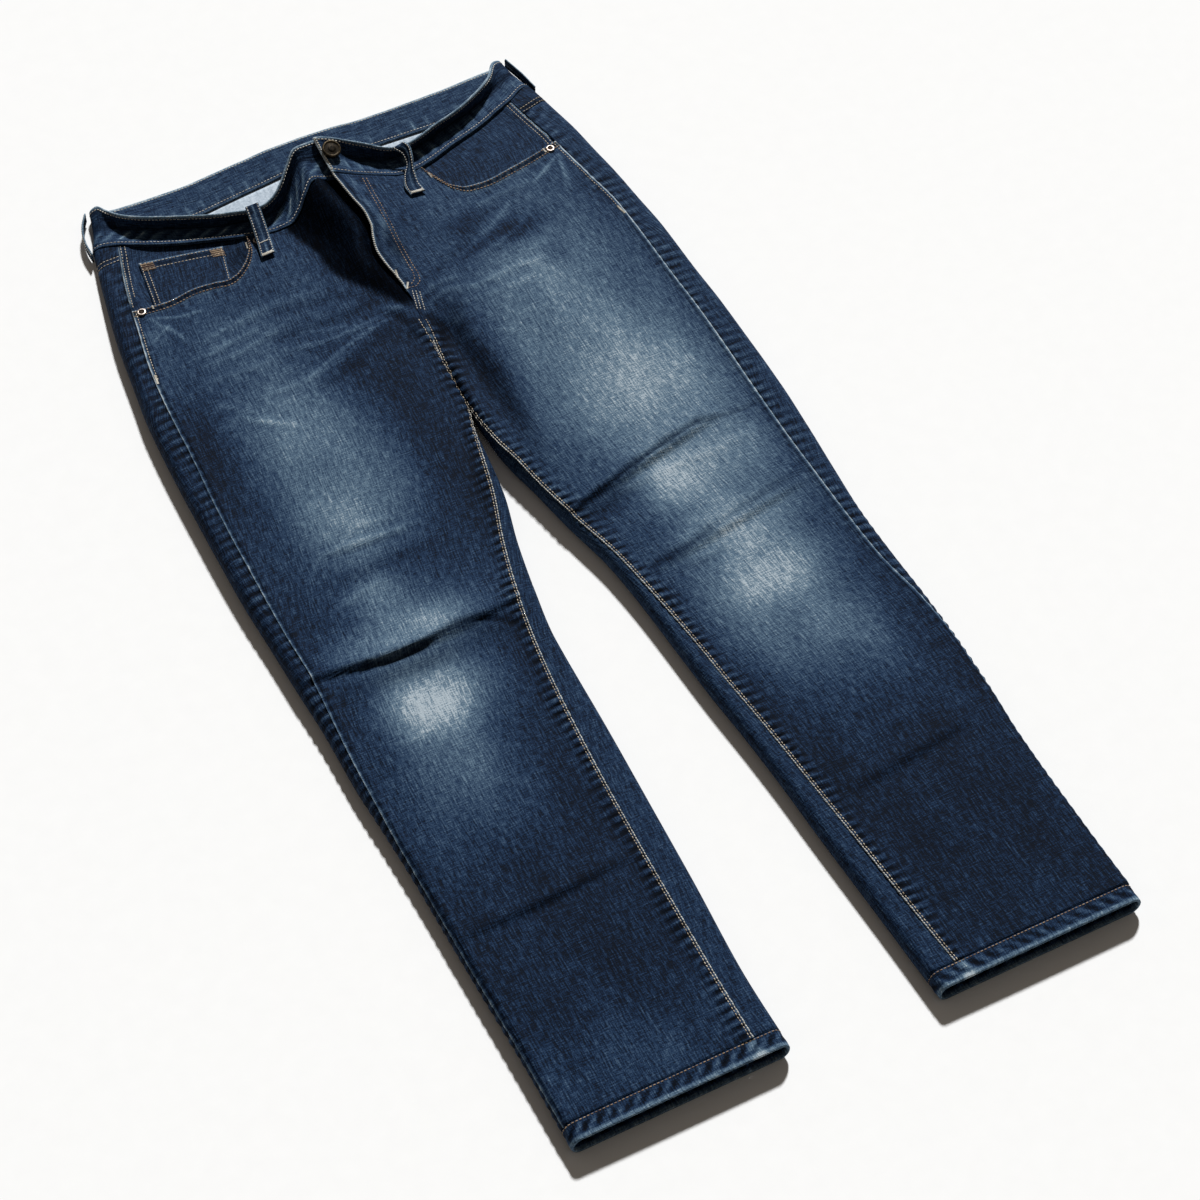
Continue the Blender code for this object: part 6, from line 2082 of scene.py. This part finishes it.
def trim_metal():
    """Button, and one rivet with its copies."""
    # Antique brass: dark and brown, nearly black where polish never reaches
    brass = cast_metal("Antique brass, rubbed", "#15120e", "#4d4230", 0.36)
    hollow = cast_metal("Antique brass, dark hollows", "#0c0a08", "#2b241a", 0.45)
    # Copper rubbed to a pale, almost silver ring round a dark pit
    copper = cast_metal("Worn copper, silvered by wear", "#6b5c52", "#c9bdb2", 0.28)
    pit = cast_metal("Worn copper, dark hollows", "#120e0c", "#33271f", 0.5)
    button = round_trim(BUTTON_RADIUS, BUTTON_HEIGHT, BUTTON_RINGS, BUTTON_DARK, (brass, hollow))
    set_down(button, "button", BUTTON_MIDDLE, BUTTON_NORMAL, BUTTON_HEIGHT)
    rivet = round_trim(RIVET_RADIUS, RIVET_HEIGHT, RIVET_RINGS, RIVET_DARK, (copper, pit))
    copies = [rivet]
    for _ in range(len(RIVETS) - 1):
        copy = rivet.copy()
        copy.data = rivet.data.copy()
        bpy.context.scene.collection.objects.link(copy)
        copies.append(copy)
    for made, (node, (side, x, y)) in zip(copies, RIVETS.items()):
        middle = (x, y, float(top_height(side, x, y)) + RIVET_LIFT)
        set_down(made, node, middle, surface_normal(side, x, y), RIVET_HEIGHT)


def direction(across, lift_angle):
    """A level direction, raised by an angle in degrees."""
    angle = math.radians(lift_angle)
    return across * math.cos(angle) + Vector((0.0, 0.0, math.sin(angle)))


def set_stage():
    """White floor, daylight from the upper right, and the photograph's camera."""
    scene = bpy.context.scene
    scene.view_settings.view_transform = "Standard"
    lens = bpy.data.cameras.new("Camera")
    lens.lens = LENS
    lens.sensor_width = SENSOR
    lens.clip_start = 0.05
    lens.clip_end = 50.0
    camera = bpy.data.objects.new("Camera", lens)
    scene.collection.objects.link(camera)
    turn = math.radians(CAMERA_TURN)
    away = direction(Vector((math.sin(turn), -math.cos(turn), 0.0)), CAMERA_LIFT)
    camera.location = Vector(CAMERA_TARGET) + away * CAMERA_AWAY
    camera.rotation_euler = away.to_track_quat("Z", "Y").to_euler()
    scene.camera = camera

    lamp = bpy.data.lights.new("Window light", "SUN")
    lamp.energy = SUN_POWER
    lamp.angle = math.radians(SUN_WIDTH)
    lamp.color = SUN_COLOUR
    sun = bpy.data.objects.new("Window light", lamp)
    scene.collection.objects.link(sun)
    towards = direction(Vector(SUN_ACROSS).normalized(), SUN_LIFT)
    sun.rotation_euler = towards.to_track_quat("Z", "Y").to_euler()

    world = bpy.data.worlds.new("Room")
    scene.world = world
    world.use_nodes = True
    glow = world.node_tree.nodes["Background"]
    glow.inputs["Color"].default_value = GLOW_COLOUR
    glow.inputs["Strength"].default_value = GLOW_STRENGTH

    bpy.ops.mesh.primitive_plane_add(size=FLOOR_SIZE, location=(0.0, 0.0, FLOOR_DROP))
    floor = bpy.context.active_object
    floor.name = "Floor"
    bpy.ops.object.transform_apply(location=True, rotation=False, scale=False)
    # Matt card: to the eye an even white that keeps the shadows' edges soft
    card, tree, shader = new_material("White card")
    place = add_node(tree, "ShaderNodeTexCoord", {}, out=3)
    fibre = add_node(tree, "ShaderNodeTexNoise", {"Vector": place, "Scale": 60.0, "Detail": 3.0})
    white = add_node(tree, "ShaderNodeValToRGB", {0: fibre}, stops=((0.3, "#e9e9e8"), (0.7, "#ebebea")))
    rough = add_node(tree, "ShaderNodeMath", {0: fibre, 1: 0.1, 2: 0.85}, operation="MULTIPLY_ADD")
    grit = add_node(tree, "ShaderNodeBump", {"Height": fibre, "Strength": 0.05, "Distance": 0.0002})
    fill(tree, shader, {"Base Color": white, "Roughness": rough, "Normal": grit})
    floor.data.materials.append(card)


def main():
    set_stage()
    face = denim_face("Indigo twill, stonewashed", INDIGO_RAMP)
    reverse = denim_reverse()
    tan = thread("Tan topstitch thread", "#938672", "#c6bba6")
    cream = thread("Cream thread, pale where rubbed", "#a8a294", "#d3cfc4")
    brown = thread("Copper brown thread", "#5a4434", "#a38a6c")

    cloths = {}
    for side in ("right", "left"):
        middle_x, middle_y = BACK_POCKET_MIDDLES[side]
        outline = [(middle_x + x, middle_y + y) for x, y in BACK_POCKET_OUTLINE]
        for word, cloth, thickness in (
            ("front_", front_cloth(side), SHOWN_CLOTH),
            ("back_", back_cloth(side), SHOWN_CLOTH),
            ("yoke_", yoke_cloth(side), SHOWN_CLOTH),
            ("facing_", facing_cloth(side), SHOWN_CLOTH),
            ("hem_", hem_cloth(side), LEAF_SHOWN),
            ("back_pocket_", patch_cloth(outline, 30), PATCH_SHOWN),
        ):
            cloths[word + side] = cloth
            make_sheet(word + side, cloth, thickness, (face, reverse))
    cloths["coin_pocket"] = coin_cloth()
    make_sheet("coin_pocket", cloths["coin_pocket"], PATCH_SHOWN, (face, reverse))
    cloths["waistband"] = band_cloth()
    make_sheet("waistband", cloths["waistband"], LEAF_SHOWN, (face, face))
    for name, (rows, sign) in LOOPS.items():
        cloths[name] = loop_cloth(rows, FRONT_LOOP_WIDER if "front" in name else SIDE_LOOP_WIDER, sign)
        make_sheet(name, cloths[name], LOOP_SHOWN, (face, face))
    cloths["loop_back"] = patch_cloth(BACK_LOOP_OUTLINE, 12)
    make_sheet("loop_back", cloths["loop_back"], LOOP_SHOWN, (face, face))

    sew(cloths, tan, cream, brown)
    trim_metal()


main()
